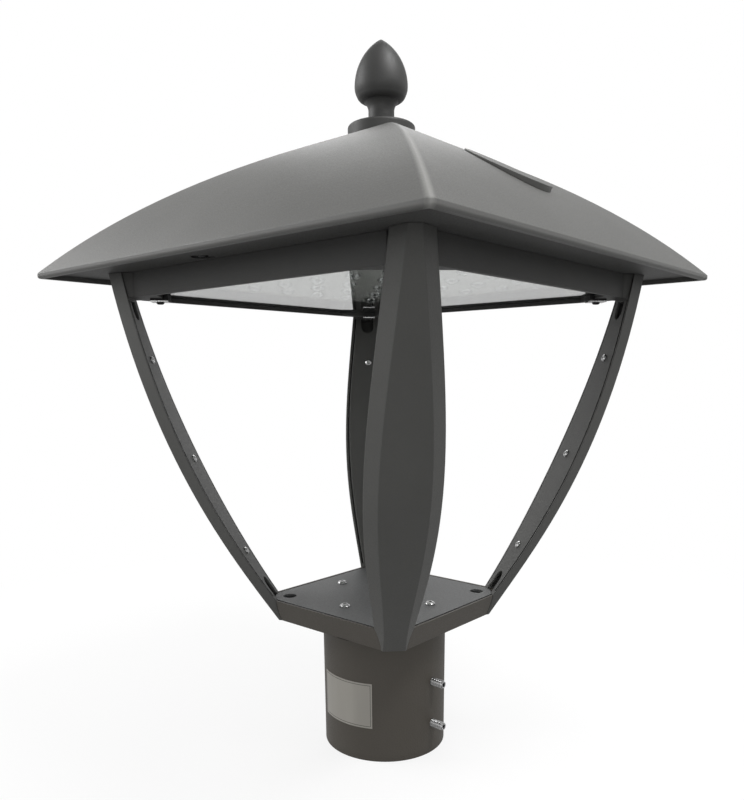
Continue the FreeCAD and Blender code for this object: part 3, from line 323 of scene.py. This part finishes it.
def powderCoat(name, c):
    material, tree, shader = newMaterial(name)
    texture = addNode(tree, "ShaderNodeGroup", node_tree=powderGrain)
    edge = addNode(tree, "ShaderNodeGroup", {"Radius": c["edge"]}, node_tree=easedEdge)
    base = linear(c["colour"])
    drifted = mixColour(tree, texture.outputs["Drift"], scaled(base, 1 - coatWearAndPaintedLight["drift"]),
                        scaled(base, 1 + coatWearAndPaintedLight["drift"]))
    # Painted highlight over the edges, partly standing for the coat thinning there
    toneAndPaintedLight = mixColour(tree, edge.outputs["Edge"], drifted, scaled(base, coatWearAndPaintedLight["edgeWearAndHighlight"]))
    # Painted highlight: the roof is paler along its hips, where the rounded hip catches light
    if c.get("hips"):
        hips = addNode(tree, "ShaderNodeGroup", node_tree=hipHighlightBand)
        toneAndPaintedLight = mixColour(tree, hips.outputs["Mask"], toneAndPaintedLight, scaled(base, coatWearAndPaintedLight["hipHighlightLift"]))
    # Painted shade: the coat's tone is darkened in gaps and slots, where shade falls
    gapShade = addNode(tree, "ShaderNodeGroup", node_tree=creviceShade)
    toneAndPaintedLight = mixColour(tree, gapShade.outputs["Mask"], toneAndPaintedLight, scaled(base, coatWearAndPaintedLight["creviceShadeTone"]))
    tree.links.new(toneAndPaintedLight, shader.inputs["Base Color"])
    rough = remap(tree, texture.outputs["Speck"], 0.0, 1.0, coatWearAndPaintedLight["roughLow"], coatWearAndPaintedLight["roughHigh"])
    tree.links.new(rough, shader.inputs["Roughness"])
    bump = addNode(tree, "ShaderNodeBump", {"Strength": coatWearAndPaintedLight["bump"], "Distance": c["grain"],
                                            "Height": texture.outputs["Height"],
                                            "Normal": edge.outputs["Normal"]})
    tree.links.new(bump.outputs[0], shader.inputs["Normal"])
    shader.inputs["Specular IOR Level"].default_value = c["gloss"]
    return material


corners = ("right", "back", "left", "front")
armNodes = [f"{corner}_{piece}" for corner in corners for piece in ("arm", "arm_cover")]
roofCoat = powderCoat("roofCoat", coatSet["roof"])
soffitCoat = powderCoat("soffitCoat", coatSet["soffit"])
armCoat = powderCoat("armCoat", coatSet["arm"])
lidCoat = powderCoat("lidCoat", coatSet["lid"])
baseCoat = powderCoat("baseCoat", coatSet["base"])
finialCoat = powderCoat("finialCoat", coatSet["finial"])
dress(roofCoat, "roof_canopy", "sensor_cover", "sensor_nut")
dress(soffitCoat, "soffit_plate", "light_frame")
dress(armCoat, *armNodes)
dress(lidCoat, "base_lid")
dress(baseCoat, "base_casting")
dress(finialCoat, "finial", "finial_collar")
print("stage: powder coat")


# Plain metals, rubber and mouldings: one tone with a fine grain that breaks up its gloss, and painted shade
# in sockets and at thread roots
plainSet = {
    "stainless": {"colour": 190, "metal": 1.0, "rough": (0.18, 0.32), "bump": 0.00002, "edge": 0.0003,
                  "scale": 1800.0, "stretch": (1.0, 1.0, 1.0)},
    "driverCase": {"colour": 176, "metal": 1.0, "rough": (0.30, 0.48), "bump": 0.00003, "edge": 0.0008,
                   "scale": 1200.0, "stretch": (0.08, 1.0, 1.0)},
    "darkSteel": {"colour": 58, "metal": 1.0, "rough": (0.34, 0.52), "bump": 0.00002, "edge": 0.0003,
                  "scale": 1800.0, "stretch": (1.0, 1.0, 1.0)},
    "sealRubber": {"colour": 26, "metal": 0.0, "rough": (0.66, 0.84), "bump": 0.00008, "edge": 0.0005,
                   "scale": 900.0, "stretch": (1.0, 1.0, 1.0)},
    "boardWhite": {"colour": (226, 227, 222), "metal": 0.0, "rough": (0.30, 0.42), "bump": 0.00002,
                   "edge": 0.0004, "scale": 1500.0, "stretch": (1.0, 1.0, 1.0)},
    "terminalPlastic": {"colour": (214, 210, 196), "metal": 0.0, "rough": (0.42, 0.56), "bump": 0.00004,
                        "edge": 0.0006, "scale": 1100.0, "stretch": (1.0, 1.0, 1.0)},
    "chipCase": {"colour": (232, 230, 224), "metal": 0.0, "rough": (0.30, 0.44), "bump": 0.00001,
                 "edge": 0.0002, "scale": 2600.0, "stretch": (1.0, 1.0, 1.0)},
    "phosphor": {"colour": (226, 190, 84), "metal": 0.0, "rough": (0.40, 0.60), "bump": 0.00003,
                 "edge": 0.0002, "scale": 3200.0, "stretch": (1.0, 1.0, 1.0)},
}
plainToneAndPaintedShade = {
    "tonePlay": 0.06,      # share by which a plain tone is smeared lighter and darker
    "gapShadeReach": 0.004,     # painted shade: how near a socket or a thread's root is closed in
    "gapTone": 0.06,       # painted shade: share of the tone that is left there
    "bump": 0.5,
}


def plainMaterial(name):
    c = plainSet[name]
    material, tree, shader = newMaterial(name)
    grain = addNode(tree, "ShaderNodeGroup", {"Scale": c["scale"], "Stretch": c["stretch"]},
                    node_tree=fineGrain)
    edge = addNode(tree, "ShaderNodeGroup", {"Radius": c["edge"]}, node_tree=easedEdge)
    base = linear(c["colour"])
    tone = mixColour(tree, grain.outputs["Smear"], scaled(base, 1 - plainToneAndPaintedShade["tonePlay"]),
                     scaled(base, 1 + plainToneAndPaintedShade["tonePlay"]))
    # Painted shade: the tone is darkened in sockets and at the roots of threads
    gapShade = addNode(tree, "ShaderNodeGroup", {"Reach": plainToneAndPaintedShade["gapShadeReach"]}, node_tree=creviceShade)
    tone = mixColour(tree, gapShade.outputs["Mask"], tone, scaled(base, plainToneAndPaintedShade["gapTone"]))
    tree.links.new(tone, shader.inputs["Base Color"])
    tree.links.new(remap(tree, grain.outputs["Smear"], 0.0, 1.0, *c["rough"]), shader.inputs["Roughness"])
    bump = addNode(tree, "ShaderNodeBump", {"Strength": plainToneAndPaintedShade["bump"], "Distance": c["bump"],
                                            "Height": grain.outputs["Height"],
                                            "Normal": edge.outputs["Normal"]})
    tree.links.new(bump.outputs[0], shader.inputs["Normal"])
    shader.inputs["Metallic"].default_value = c["metal"]
    return material


plain = {name: plainMaterial(name) for name in plainSet}
dress(plain["stainless"], "lid_screws", "terminal_screws", "arm_cover_screws", "arm_head_bolts",
      "arm_foot_bolts", "glass_clips", "board_screws", "driver_screws", "frame_screws", "finial_stud",
      "finial_nut")
dress(plain["darkSteel"], "soffit_screws", "clip_screws")
dress(plain["driverCase"], "led_driver")
dress(plain["sealRubber"], "lid_gasket", "glass_gasket", "clip_pads", "cable_grommet")
dress(plain["boardWhite"], "led_board")
dress(plain["terminalPlastic"], "terminal_block")
print("stage: plain materials")


# Hammered bright sheet of the tray, whose dents sparkle through the glass; the dents are painted darker and
# the ridges between them paler, as painted shade and highlight
traySet = {
    "colour": (226, 222, 214),
    "dentScale": 520.0,
    "dentDepth": 0.0009,
    "dentSoftness": 0.35,
    "dentSpan": (0.1, 0.6),     # depths that have the lowest and highest tone
    "dentShadeTone": (0.62, 1.25),   # painted shade in the dents and painted highlight between them, as shares of its tone
    "grainScale": 700.0,
    "rough": (0.24, 0.40),
    "metal": 0.15,
    "bump": 0.9,
}


def hammeredSheet(c):
    material, tree, shader = newMaterial("hammeredSheet")
    place = addNode(tree, "ShaderNodeTexCoord").outputs["Object"]
    dents = addNode(tree, "ShaderNodeTexVoronoi", {"Vector": place, "Scale": c["dentScale"],
                                                   "Smoothness": c["dentSoftness"]}, feature="SMOOTH_F1")
    grain = addNode(tree, "ShaderNodeGroup", {"Scale": c["grainScale"]}, node_tree=fineGrain)
    base = linear(c["colour"])
    depth = dents.outputs["Distance"]
    # Painted shade in the dents and a painted highlight on the ridges between them
    paintedDentShade, paintedRidgeHighlight = [scaled(base, share) for share in c["dentShadeTone"]]
    tone = mixColour(tree, remap(tree, depth, *c["dentSpan"], 0.0, 1.0), paintedDentShade, paintedRidgeHighlight)
    tree.links.new(tone, shader.inputs["Base Color"])
    tree.links.new(remap(tree, grain.outputs["Smear"], 0.0, 1.0, *c["rough"]), shader.inputs["Roughness"])
    bump = addNode(tree, "ShaderNodeBump", {"Strength": c["bump"], "Distance": c["dentDepth"],
                                            "Height": depth})
    tree.links.new(bump.outputs[0], shader.inputs["Normal"])
    shader.inputs["Metallic"].default_value = c["metal"]
    return material


dress(hammeredSheet(traySet), "led_tray")


# Clear pane and clear optics, with a faint haze in the gloss
clearSet = {
    "paneClear": {"tint": (0.95, 0.97, 0.96, 1.0), "ior": 1.5, "haze": (0.008, 0.03), "hazeScale": 9.0},
    "opticClear": {"tint": (0.97, 0.98, 0.98, 1.0), "ior": 1.49, "haze": (0.03, 0.09), "hazeScale": 140.0},
}
hazeSet = {
    "detail": 3.0,
    "span": (0.35, 0.65),       # noise values that become the least and most haze
}


def clearMaterial(name):
    c = clearSet[name]
    material, tree, shader = newMaterial(name)
    place = addNode(tree, "ShaderNodeTexCoord").outputs["Object"]
    haze = addNode(tree, "ShaderNodeTexNoise", {"Vector": place, "Scale": c["hazeScale"],
                                                "Detail": hazeSet["detail"]})
    tree.links.new(remap(tree, haze.outputs["Fac"], *hazeSet["span"], *c["haze"]), shader.inputs["Roughness"])
    shader.inputs["Base Color"].default_value = c["tint"]
    shader.inputs["Transmission Weight"].default_value = 1.0
    shader.inputs["IOR"].default_value = c["ior"]
    return material


paneClear = clearMaterial("paneClear")
opticClear = clearMaterial("opticClear")
dress(paneClear, "glass")


# Label: blank satin film with a thin printed frame line
labelSet = {
    "colour": (156, 153, 146),
    "ink": (70, 69, 67),
    "lineInset": 0.0016,
    "lineWidth": 0.0005,
    "rough": (0.34, 0.50),
    "metal": 0.25,
    "tone": (0.94, 1.05),       # shares between which its tone is smeared
    "grainScale": 1600.0,
    "grainStretch": (1.0, 1.0, 0.1),
    "grainDepth": 0.00002,
    "bump": 0.3,
}


def labelFoil(c):
    material, tree, shader = newMaterial("labelFoil")
    low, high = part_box("rating_label")
    place = addNode(tree, "ShaderNodeTexCoord").outputs["Object"]
    at = addNode(tree, "ShaderNodeSeparateXYZ", {0: place}).outputs
    radius = -low.y
    halfArc = math.asin(high.x / radius)
    turn = mathNode(tree, "ARCTAN2", at["X"], mathNode(tree, "MULTIPLY", at["Y"], -1.0))
    along = mathNode(tree, "MULTIPLY", mathNode(tree, "ABSOLUTE", turn), radius)
    upward = mathNode(tree, "ABSOLUTE", mathNode(tree, "SUBTRACT", at["Z"], (low.z + high.z) / 2))
    sideEdge = mathNode(tree, "SUBTRACT", along, radius * halfArc - c["lineInset"])
    endEdge = mathNode(tree, "SUBTRACT", upward, (high.z - low.z) / 2 - c["lineInset"])
    outside = mathNode(tree, "MAXIMUM", sideEdge, endEdge)
    line = mathNode(tree, "MULTIPLY", mathNode(tree, "LESS_THAN", outside, 0.0),
                    mathNode(tree, "GREATER_THAN", outside, -c["lineWidth"]))
    grain = addNode(tree, "ShaderNodeGroup", {"Scale": c["grainScale"], "Stretch": c["grainStretch"]},
                    node_tree=fineGrain)
    base = linear(c["colour"])
    darker, paler = [scaled(base, share) for share in c["tone"]]
    film = mixColour(tree, grain.outputs["Smear"], darker, paler)
    tree.links.new(mixColour(tree, line, film, linear(c["ink"])), shader.inputs["Base Color"])
    tree.links.new(remap(tree, grain.outputs["Smear"], 0.0, 1.0, *c["rough"]), shader.inputs["Roughness"])
    bump = addNode(tree, "ShaderNodeBump", {"Strength": c["bump"], "Distance": c["grainDepth"],
                                            "Height": grain.outputs["Height"]})
    tree.links.new(bump.outputs[0], shader.inputs["Normal"])
    shader.inputs["Metallic"].default_value = c["metal"]
    return material


dress(labelFoil(labelSet), "rating_label")
print("stage: sheet, glass and label")


mergeDistance = 1e-6       # points of a mesh that are nearer than this are one


# Runs a node tree on a seed mesh, with inputs set by name, and keeps the result as a plain piece
def runTree(name, tree, seed, values):
    holder = bpy.data.objects.new(f"{name}Seed", seed)
    modifier = holder.modifiers.new("tree", "NODES")
    modifier.node_group = tree
    for item in tree.interface.items_tree:
        if item.in_out == "INPUT" and item.name in values:
            modifier[item.identifier] = values[item.name]
    scene.collection.objects.link(holder)
    graph = bpy.context.evaluated_depsgraph_get()
    made = bpy.data.meshes.new_from_object(holder.evaluated_get(graph))
    holder.modifiers.remove(modifier)
    bpy.data.objects.remove(holder)
    shell = bmesh.new()
    shell.from_mesh(made)
    bmesh.ops.remove_doubles(shell, verts=shell.verts, dist=mergeDistance)
    bmesh.ops.recalc_face_normals(shell, faces=shell.faces)
    shell.to_mesh(made)
    shell.free()
    piece = bpy.data.objects.new(name, made)
    scene.collection.objects.link(piece)
    print("  made", name, "with", len(made.polygons), "faces")
    return piece


def pointMesh(points):
    mesh = bpy.data.meshes.new("seedPoints")
    mesh.from_pydata(points, [], [])
    return mesh


# Ends a tree: the copies become one mesh, which gets its finish
def endTree(tree, copies, finish, result):
    real = addNode(tree, "GeometryNodeRealizeInstances", {"Geometry": copies})
    finished = addNode(tree, "GeometryNodeSetMaterial", {"Geometry": real.outputs[0], "Material": finish})
    tree.links.new(finished.outputs[0], result.inputs[0])


# Set screws of the sleeve: threaded, with a hex socket in the outer end
setScrewSet = {
    "radius": 0.004,
    "pitch": 0.00125,
    "rootShare": 0.84,        # root radius as a share of the thread's
    "socketRadius": 0.0023,
    "socketDepth": 0.0035,
    "bore": 0.058,            # sleeve's inner radius
    "inset": 0.0012,          # how far the inner tip stands off the bore
    "sides": 32,              # faces round the shank
    "socketSides": 6,
    "turnSteps": 28,          # points in each turn of the thread
    "ridgeSides": 4,
}


def makeScrewTree(c):
    floats = ("Radius", "Root Radius", "Pitch", "Length", "Socket Radius", "Socket Depth")
    inputs = [("Geometry", "NodeSocketGeometry", None), ("Finish", "NodeSocketMaterial", None)]
    inputs += [(label, "NodeSocketFloat", 0.001) for label in floats]
    tree, given, result = newGroup("threadedScrew", "GeometryNodeTree", inputs,
                                   [("Geometry", "NodeSocketGeometry")])
    size = given.outputs
    shank = addNode(tree, "GeometryNodeMeshCylinder", {"Vertices": c["sides"], "Radius": size["Root Radius"],
                                                       "Depth": size["Length"]})
    middle = addNode(tree, "ShaderNodeCombineXYZ", {"Z": mathNode(tree, "MULTIPLY", size["Length"], 0.5)})
    raised = addNode(tree, "GeometryNodeTransform", {"Geometry": shank.outputs["Mesh"],
                                                     "Translation": middle.outputs[0]})
    key = addNode(tree, "GeometryNodeMeshCylinder",
                  {"Vertices": c["socketSides"], "Radius": size["Socket Radius"],
                   "Depth": mathNode(tree, "MULTIPLY", size["Socket Depth"], 2.0)})
    end = addNode(tree, "ShaderNodeCombineXYZ", {"Z": size["Length"]})
    keyed = addNode(tree, "GeometryNodeTransform", {"Geometry": key.outputs["Mesh"],
                                                    "Translation": end.outputs[0]})
    core = addNode(tree, "GeometryNodeMeshBoolean",
                   {"Mesh 1": raised.outputs[0], "Mesh 2": keyed.outputs[0]}, operation="DIFFERENCE")
    run = mathNode(tree, "SUBTRACT", size["Length"], mathNode(tree, "MULTIPLY", size["Pitch"], 2.0))
    half = mathNode(tree, "MULTIPLY", size["Pitch"], 0.5)
    middleRadius = mathNode(tree, "SUBTRACT", size["Radius"], half)
    helix = addNode(tree, "GeometryNodeCurveSpiral",
                    {"Resolution": c["turnSteps"], "Rotations": mathNode(tree, "DIVIDE", run, size["Pitch"]),
                     "Start Radius": middleRadius, "End Radius": middleRadius, "Height": run})
    upright = addNode(tree, "GeometryNodeSetCurveNormal", {"Curve": helix.outputs[0]}, mode="Z_UP")
    ridge = addNode(tree, "GeometryNodeCurvePrimitiveCircle", {"Resolution": c["ridgeSides"], "Radius": half})
    thread = addNode(tree, "GeometryNodeCurveToMesh",
                     {"Curve": upright.outputs[0], "Profile Curve": ridge.outputs[0], "Fill Caps": True})
    start = addNode(tree, "ShaderNodeCombineXYZ", {"Z": size["Pitch"]})
    lifted = addNode(tree, "GeometryNodeTransform", {"Geometry": thread.outputs[0],
                                                     "Translation": start.outputs[0]})
    screw = addNode(tree, "GeometryNodeJoinGeometry")
    for part in (core.outputs["Mesh"], lifted.outputs[0]):
        tree.links.new(part, screw.inputs[0])
    level = addNode(tree, "ShaderNodeVectorMath",
                    {0: addNode(tree, "GeometryNodeInputPosition").outputs[0], 1: (1.0, 1.0, 0.0)},
                    operation="MULTIPLY")
    outward = addNode(tree, "FunctionNodeAlignRotationToVector", {"Vector": level.outputs[0]}, axis="Z")
    placed = addNode(tree, "GeometryNodeInstanceOnPoints",
                     {"Points": size["Geometry"], "Instance": screw.outputs[0],
                      "Rotation": outward.outputs[0]})
    endTree(tree, placed.outputs[0], size["Finish"], result)
    return tree


def makeSetScrews(c):
    low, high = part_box("set_screws")
    tip = c["bore"] + c["inset"]
    heights = (low.z + c["radius"], high.z - c["radius"])
    seats = [(side * tip, 0.0, height) for side in (-1, 1) for height in heights]
    values = {"Radius": c["radius"], "Root Radius": c["radius"] * c["rootShare"], "Pitch": c["pitch"],
              "Length": high.x - tip, "Socket Radius": c["socketRadius"], "Socket Depth": c["socketDepth"],
              "Finish": plain["stainless"]}
    piece = runTree("threadedSetScrews", makeScrewTree(c), pointMesh(seats), values)
    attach(piece, "root")
    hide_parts("set_screws")


makeSetScrews(setScrewSet)
print("stage: set screws")


# Light engine: a grid of optics over the board, each hollow over its chip
opticSet = {
    "count": 6,
    "width": 0.016,
    "height": 0.005,
    "rim": 0.0015,
    "hollowWidth": 0.009,
    "hollowRise": 0.0028,
    "steps": 20,              # faces round an optic
    "arcSteps": 7,            # faces up its dome
}
chipSet = {
    "caseSide": 0.0036,
    "caseRise": 0.0007,
    "litSide": 0.0027,
    "litRise": 0.0009,
    "bevel": 0.0002,
    "bevelSteps": 2,
}


def makeGridTree():
    tree, given, result = newGroup(
        "boardGrid", "GeometryNodeTree",
        [("Geometry", "NodeSocketGeometry", None), ("Form", "NodeSocketObject", None),
         ("Count", "NodeSocketInt", 6), ("Span", "NodeSocketFloat", 0.24), ("Level", "NodeSocketFloat", 0.0),
         ("Finish", "NodeSocketMaterial", None)],
        [("Geometry", "NodeSocketGeometry")])
    size = given.outputs
    grid = addNode(tree, "GeometryNodeMeshGrid", {"Size X": size["Span"], "Size Y": size["Span"],
                                                  "Vertices X": size["Count"], "Vertices Y": size["Count"]})
    level = addNode(tree, "ShaderNodeCombineXYZ", {"Z": size["Level"]})
    seats = addNode(tree, "GeometryNodeTransform", {"Geometry": grid.outputs["Mesh"],
                                                    "Translation": level.outputs[0]})
    form = addNode(tree, "GeometryNodeObjectInfo", {"Object": size["Form"]}, transform_space="ORIGINAL")
    placed = addNode(tree, "GeometryNodeInstanceOnPoints", {"Points": seats.outputs[0],
                                                            "Instance": form.outputs["Geometry"]})
    endTree(tree, placed.outputs[0], size["Finish"], result)
    return tree


# Points of a dome from its crown, straight below the seat, out to its rim
def domeArc(halfWidth, crown, rim, steps):
    rise = crown - rim
    radius = (halfWidth * halfWidth + rise * rise) / (2 * rise)
    sweep = math.asin(halfWidth / radius)
    angles = [sweep * step / steps for step in range(steps + 1)]
    return [(radius * math.sin(a), rim + radius * (math.cos(a) - math.cos(sweep))) for a in angles]


def formObject(name, shell, smooth):
    mesh = bpy.data.meshes.new(name)
    shell.to_mesh(mesh)
    shell.free()
    mesh.polygons.foreach_set("use_smooth", [smooth] * len(mesh.polygons))
    form = bpy.data.objects.new(name, mesh)
    scene.collection.objects.link(form)
    return form


def opticForm(c):
    outer = domeArc(c["width"] / 2, c["height"], c["rim"], c["arcSteps"])
    inner = domeArc(c["hollowWidth"] / 2, c["hollowRise"], 0.0, c["arcSteps"])
    section = outer + [(c["width"] / 2, 0.0)] + inner[::-1]
    shell = bmesh.new()
    profile = [shell.verts.new((across, 0, -below)) for across, below in section]
    edges = [shell.edges.new(pair) for pair in zip(profile, profile[1:])]
    bmesh.ops.spin(shell, geom=profile + edges, axis=(0, 0, 1), cent=(0, 0, 0), angle=2 * math.pi,
                   steps=c["steps"], use_merge=True)
    bmesh.ops.remove_doubles(shell, verts=shell.verts, dist=mergeDistance)
    bmesh.ops.recalc_face_normals(shell, faces=shell.faces)
    return formObject("opticForm", shell, smooth=True)


def chipForm(name, side, rise, c):
    shell = bmesh.new()
    size = Matrix.Diagonal((side, side, rise, 1.0))
    bmesh.ops.create_cube(shell, size=1.0, matrix=Matrix.Translation((0, 0, -rise / 2)) @ size)
    bmesh.ops.bevel(shell, geom=shell.edges, offset=c["bevel"], segments=c["bevelSteps"], affect="EDGES",
                    profile=0.5)
    return formObject(name, shell, smooth=False)


def makeLightEngine(optic, chip):
    low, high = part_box("led_lenses")
    tree = makeGridTree()
    values = {"Count": optic["count"], "Span": high.x - low.x - optic["width"], "Level": high.z}
    litForm = chipForm("litForm", chip["litSide"], chip["litRise"], chip)
    caseForm = chipForm("caseForm", chip["caseSide"], chip["caseRise"], chip)
    pieces = {
        "opticLenses": (opticForm(optic), opticClear, "lens_clear"),
        "chipCases": (caseForm, plain["chipCase"], "board_white"),
        "chipLights": (litForm, plain["phosphor"], "board_white"),
    }
    for name, (form, finish, slot) in pieces.items():
        piece = runTree(name, tree, pointMesh([]), {**values, "Form": form, "Finish": finish})
        bpy.data.objects.remove(form)
        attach(piece, "root")
        if name == "opticLenses":
            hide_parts("led_lenses")


makeLightEngine(opticSet, chipSet)
print("stage: light engine")


# Stage: a pale floor that keeps the shadow, and a white studio round it
stageSet = {
    "floorSize": 60.0,
    "floorGrey": 0.30,        # what the floor sends back to the lantern
    "floorGlow": 0.80,        # share of the floor's white that shadow can't darken, under the lantern
    "floorFade": (0.15, 0.9),  # distances over which that share grows to the whole
    "floorShade": 0.9,        # grey of the part that shadow darkens
    "floorSheen": 0.55,       # what a mirror image of the floor shows
    "zenith": 0.15,
    "horizon": 1.12,
    "below": 0.20,
    "zenithStart": 0.9,       # height, as a share, above which the sky has its zenith tone
}


def seenByEye(tree):
    path = addNode(tree, "ShaderNodeLightPath").outputs
    return mathNode(tree, "MAXIMUM", path["Is Camera Ray"], path["Is Transmission Ray"])


def makeFloor(c):
    mesh = bpy.data.meshes.new("floor")
    half = c["floorSize"] / 2
    rim = [(-half, -half, 0), (half, -half, 0), (half, half, 0), (-half, half, 0)]
    mesh.from_pydata(rim, [], [(0, 1, 2, 3)])
    floor = bpy.data.objects.new("floor", mesh)
    scene.collection.objects.link(floor)
    material = bpy.data.materials.new("floorPale")
    material.use_nodes = True
    tree = material.node_tree
    tree.nodes.clear()
    white = (1, 1, 1, 1)
    dull = addNode(tree, "ShaderNodeBsdfDiffuse", {"Color": scaled(white, c["floorGrey"])})
    glow = addNode(tree, "ShaderNodeEmission", {"Color": white, "Strength": 1.0})
    shaded = addNode(tree, "ShaderNodeBsdfDiffuse", {"Color": scaled(white, c["floorShade"])})
    place = addNode(tree, "ShaderNodeTexCoord").outputs["Object"]
    away = addNode(tree, "ShaderNodeVectorMath", {0: place}, operation="LENGTH").outputs["Value"]
    share = remap(tree, away, *c["floorFade"], c["floorGlow"], 1.0)
    seen = addNode(tree, "ShaderNodeMixShader", {0: share, 1: shaded.outputs[0], 2: glow.outputs[0]})
    sheen = addNode(tree, "ShaderNodeEmission", {"Color": white, "Strength": c["floorSheen"]})
    glossy = addNode(tree, "ShaderNodeLightPath").outputs["Is Glossy Ray"]
    sent = addNode(tree, "ShaderNodeMixShader", {0: glossy, 1: dull.outputs[0], 2: sheen.outputs[0]})
    mixed = addNode(tree, "ShaderNodeMixShader",
                    {0: seenByEye(tree), 1: sent.outputs[0], 2: seen.outputs[0]})
    addNode(tree, "ShaderNodeOutputMaterial", {"Surface": mixed.outputs[0]})
    mesh.materials.append(material)


def makeWorld(c):
    world = bpy.data.worlds.new("studio")
    scene.world = world
    world.use_nodes = True
    tree = world.node_tree
    tree.nodes.clear()
    upward = addNode(tree, "ShaderNodeSeparateXYZ",
                     {0: addNode(tree, "ShaderNodeTexCoord").outputs["Generated"]}).outputs["Z"]
    above = remap(tree, upward, 0.0, c["zenithStart"], c["horizon"], c["zenith"])
    strength = addNode(tree, "ShaderNodeMix", {0: mathNode(tree, "GREATER_THAN", upward, 0.0),
                                               2: c["below"], 3: above}).outputs[0]
    lit = addNode(tree, "ShaderNodeBackground", {"Color": (1, 1, 1, 1), "Strength": strength})
    white = addNode(tree, "ShaderNodeBackground", {"Color": (1, 1, 1, 1), "Strength": 1.0})
    mixed = addNode(tree, "ShaderNodeMixShader",
                    {0: seenByEye(tree), 1: lit.outputs[0], 2: white.outputs[0]})
    addNode(tree, "ShaderNodeOutputWorld", {"Surface": mixed.outputs[0]})


# Lamps stand round the lantern's middle; azimuth is in degrees from the -Y side towards +X
lampPlace = {
    "middle": (0, 0, 0.43),
    "distance": 2.2,
    "size": 1.2,
}
lampSet = {
    "highRight": {"azimuth": 100.0, "elevation": 60.0, "power": 44.0},
    "left": {"azimuth": -60.0, "elevation": 30.0, "power": 22.0},
    "back": {"azimuth": -140.0, "elevation": 40.0, "power": 11.0},
    "lowFront": {"azimuth": 40.0, "elevation": 6.0, "power": 5.0},
    "lowLeft": {"azimuth": -40.0, "elevation": 6.0, "power": 4.5},
}


def makeLamps(c, place):
    for name, lamp in c.items():
        data = bpy.data.lights.new(name, "AREA")
        data.shape = "DISK"
        data.size = place["size"]
        data.energy = lamp["power"]
        item = bpy.data.objects.new(name, data)
        azimuth = math.radians(lamp["azimuth"])
        elevation = math.radians(lamp["elevation"])
        level = Vector((math.sin(azimuth), -math.cos(azimuth), 0)) * math.cos(elevation)
        outward = level + Vector((0, 0, math.sin(elevation)))
        item.location = Vector(place["middle"]) + outward * place["distance"]
        item.rotation_euler = outward.to_track_quat("Z", "Y").to_euler()
        scene.collection.objects.link(item)


makeFloor(stageSet)
makeWorld(stageSet)
makeLamps(lampSet, lampPlace)
print("stage: floor, world and lamps")
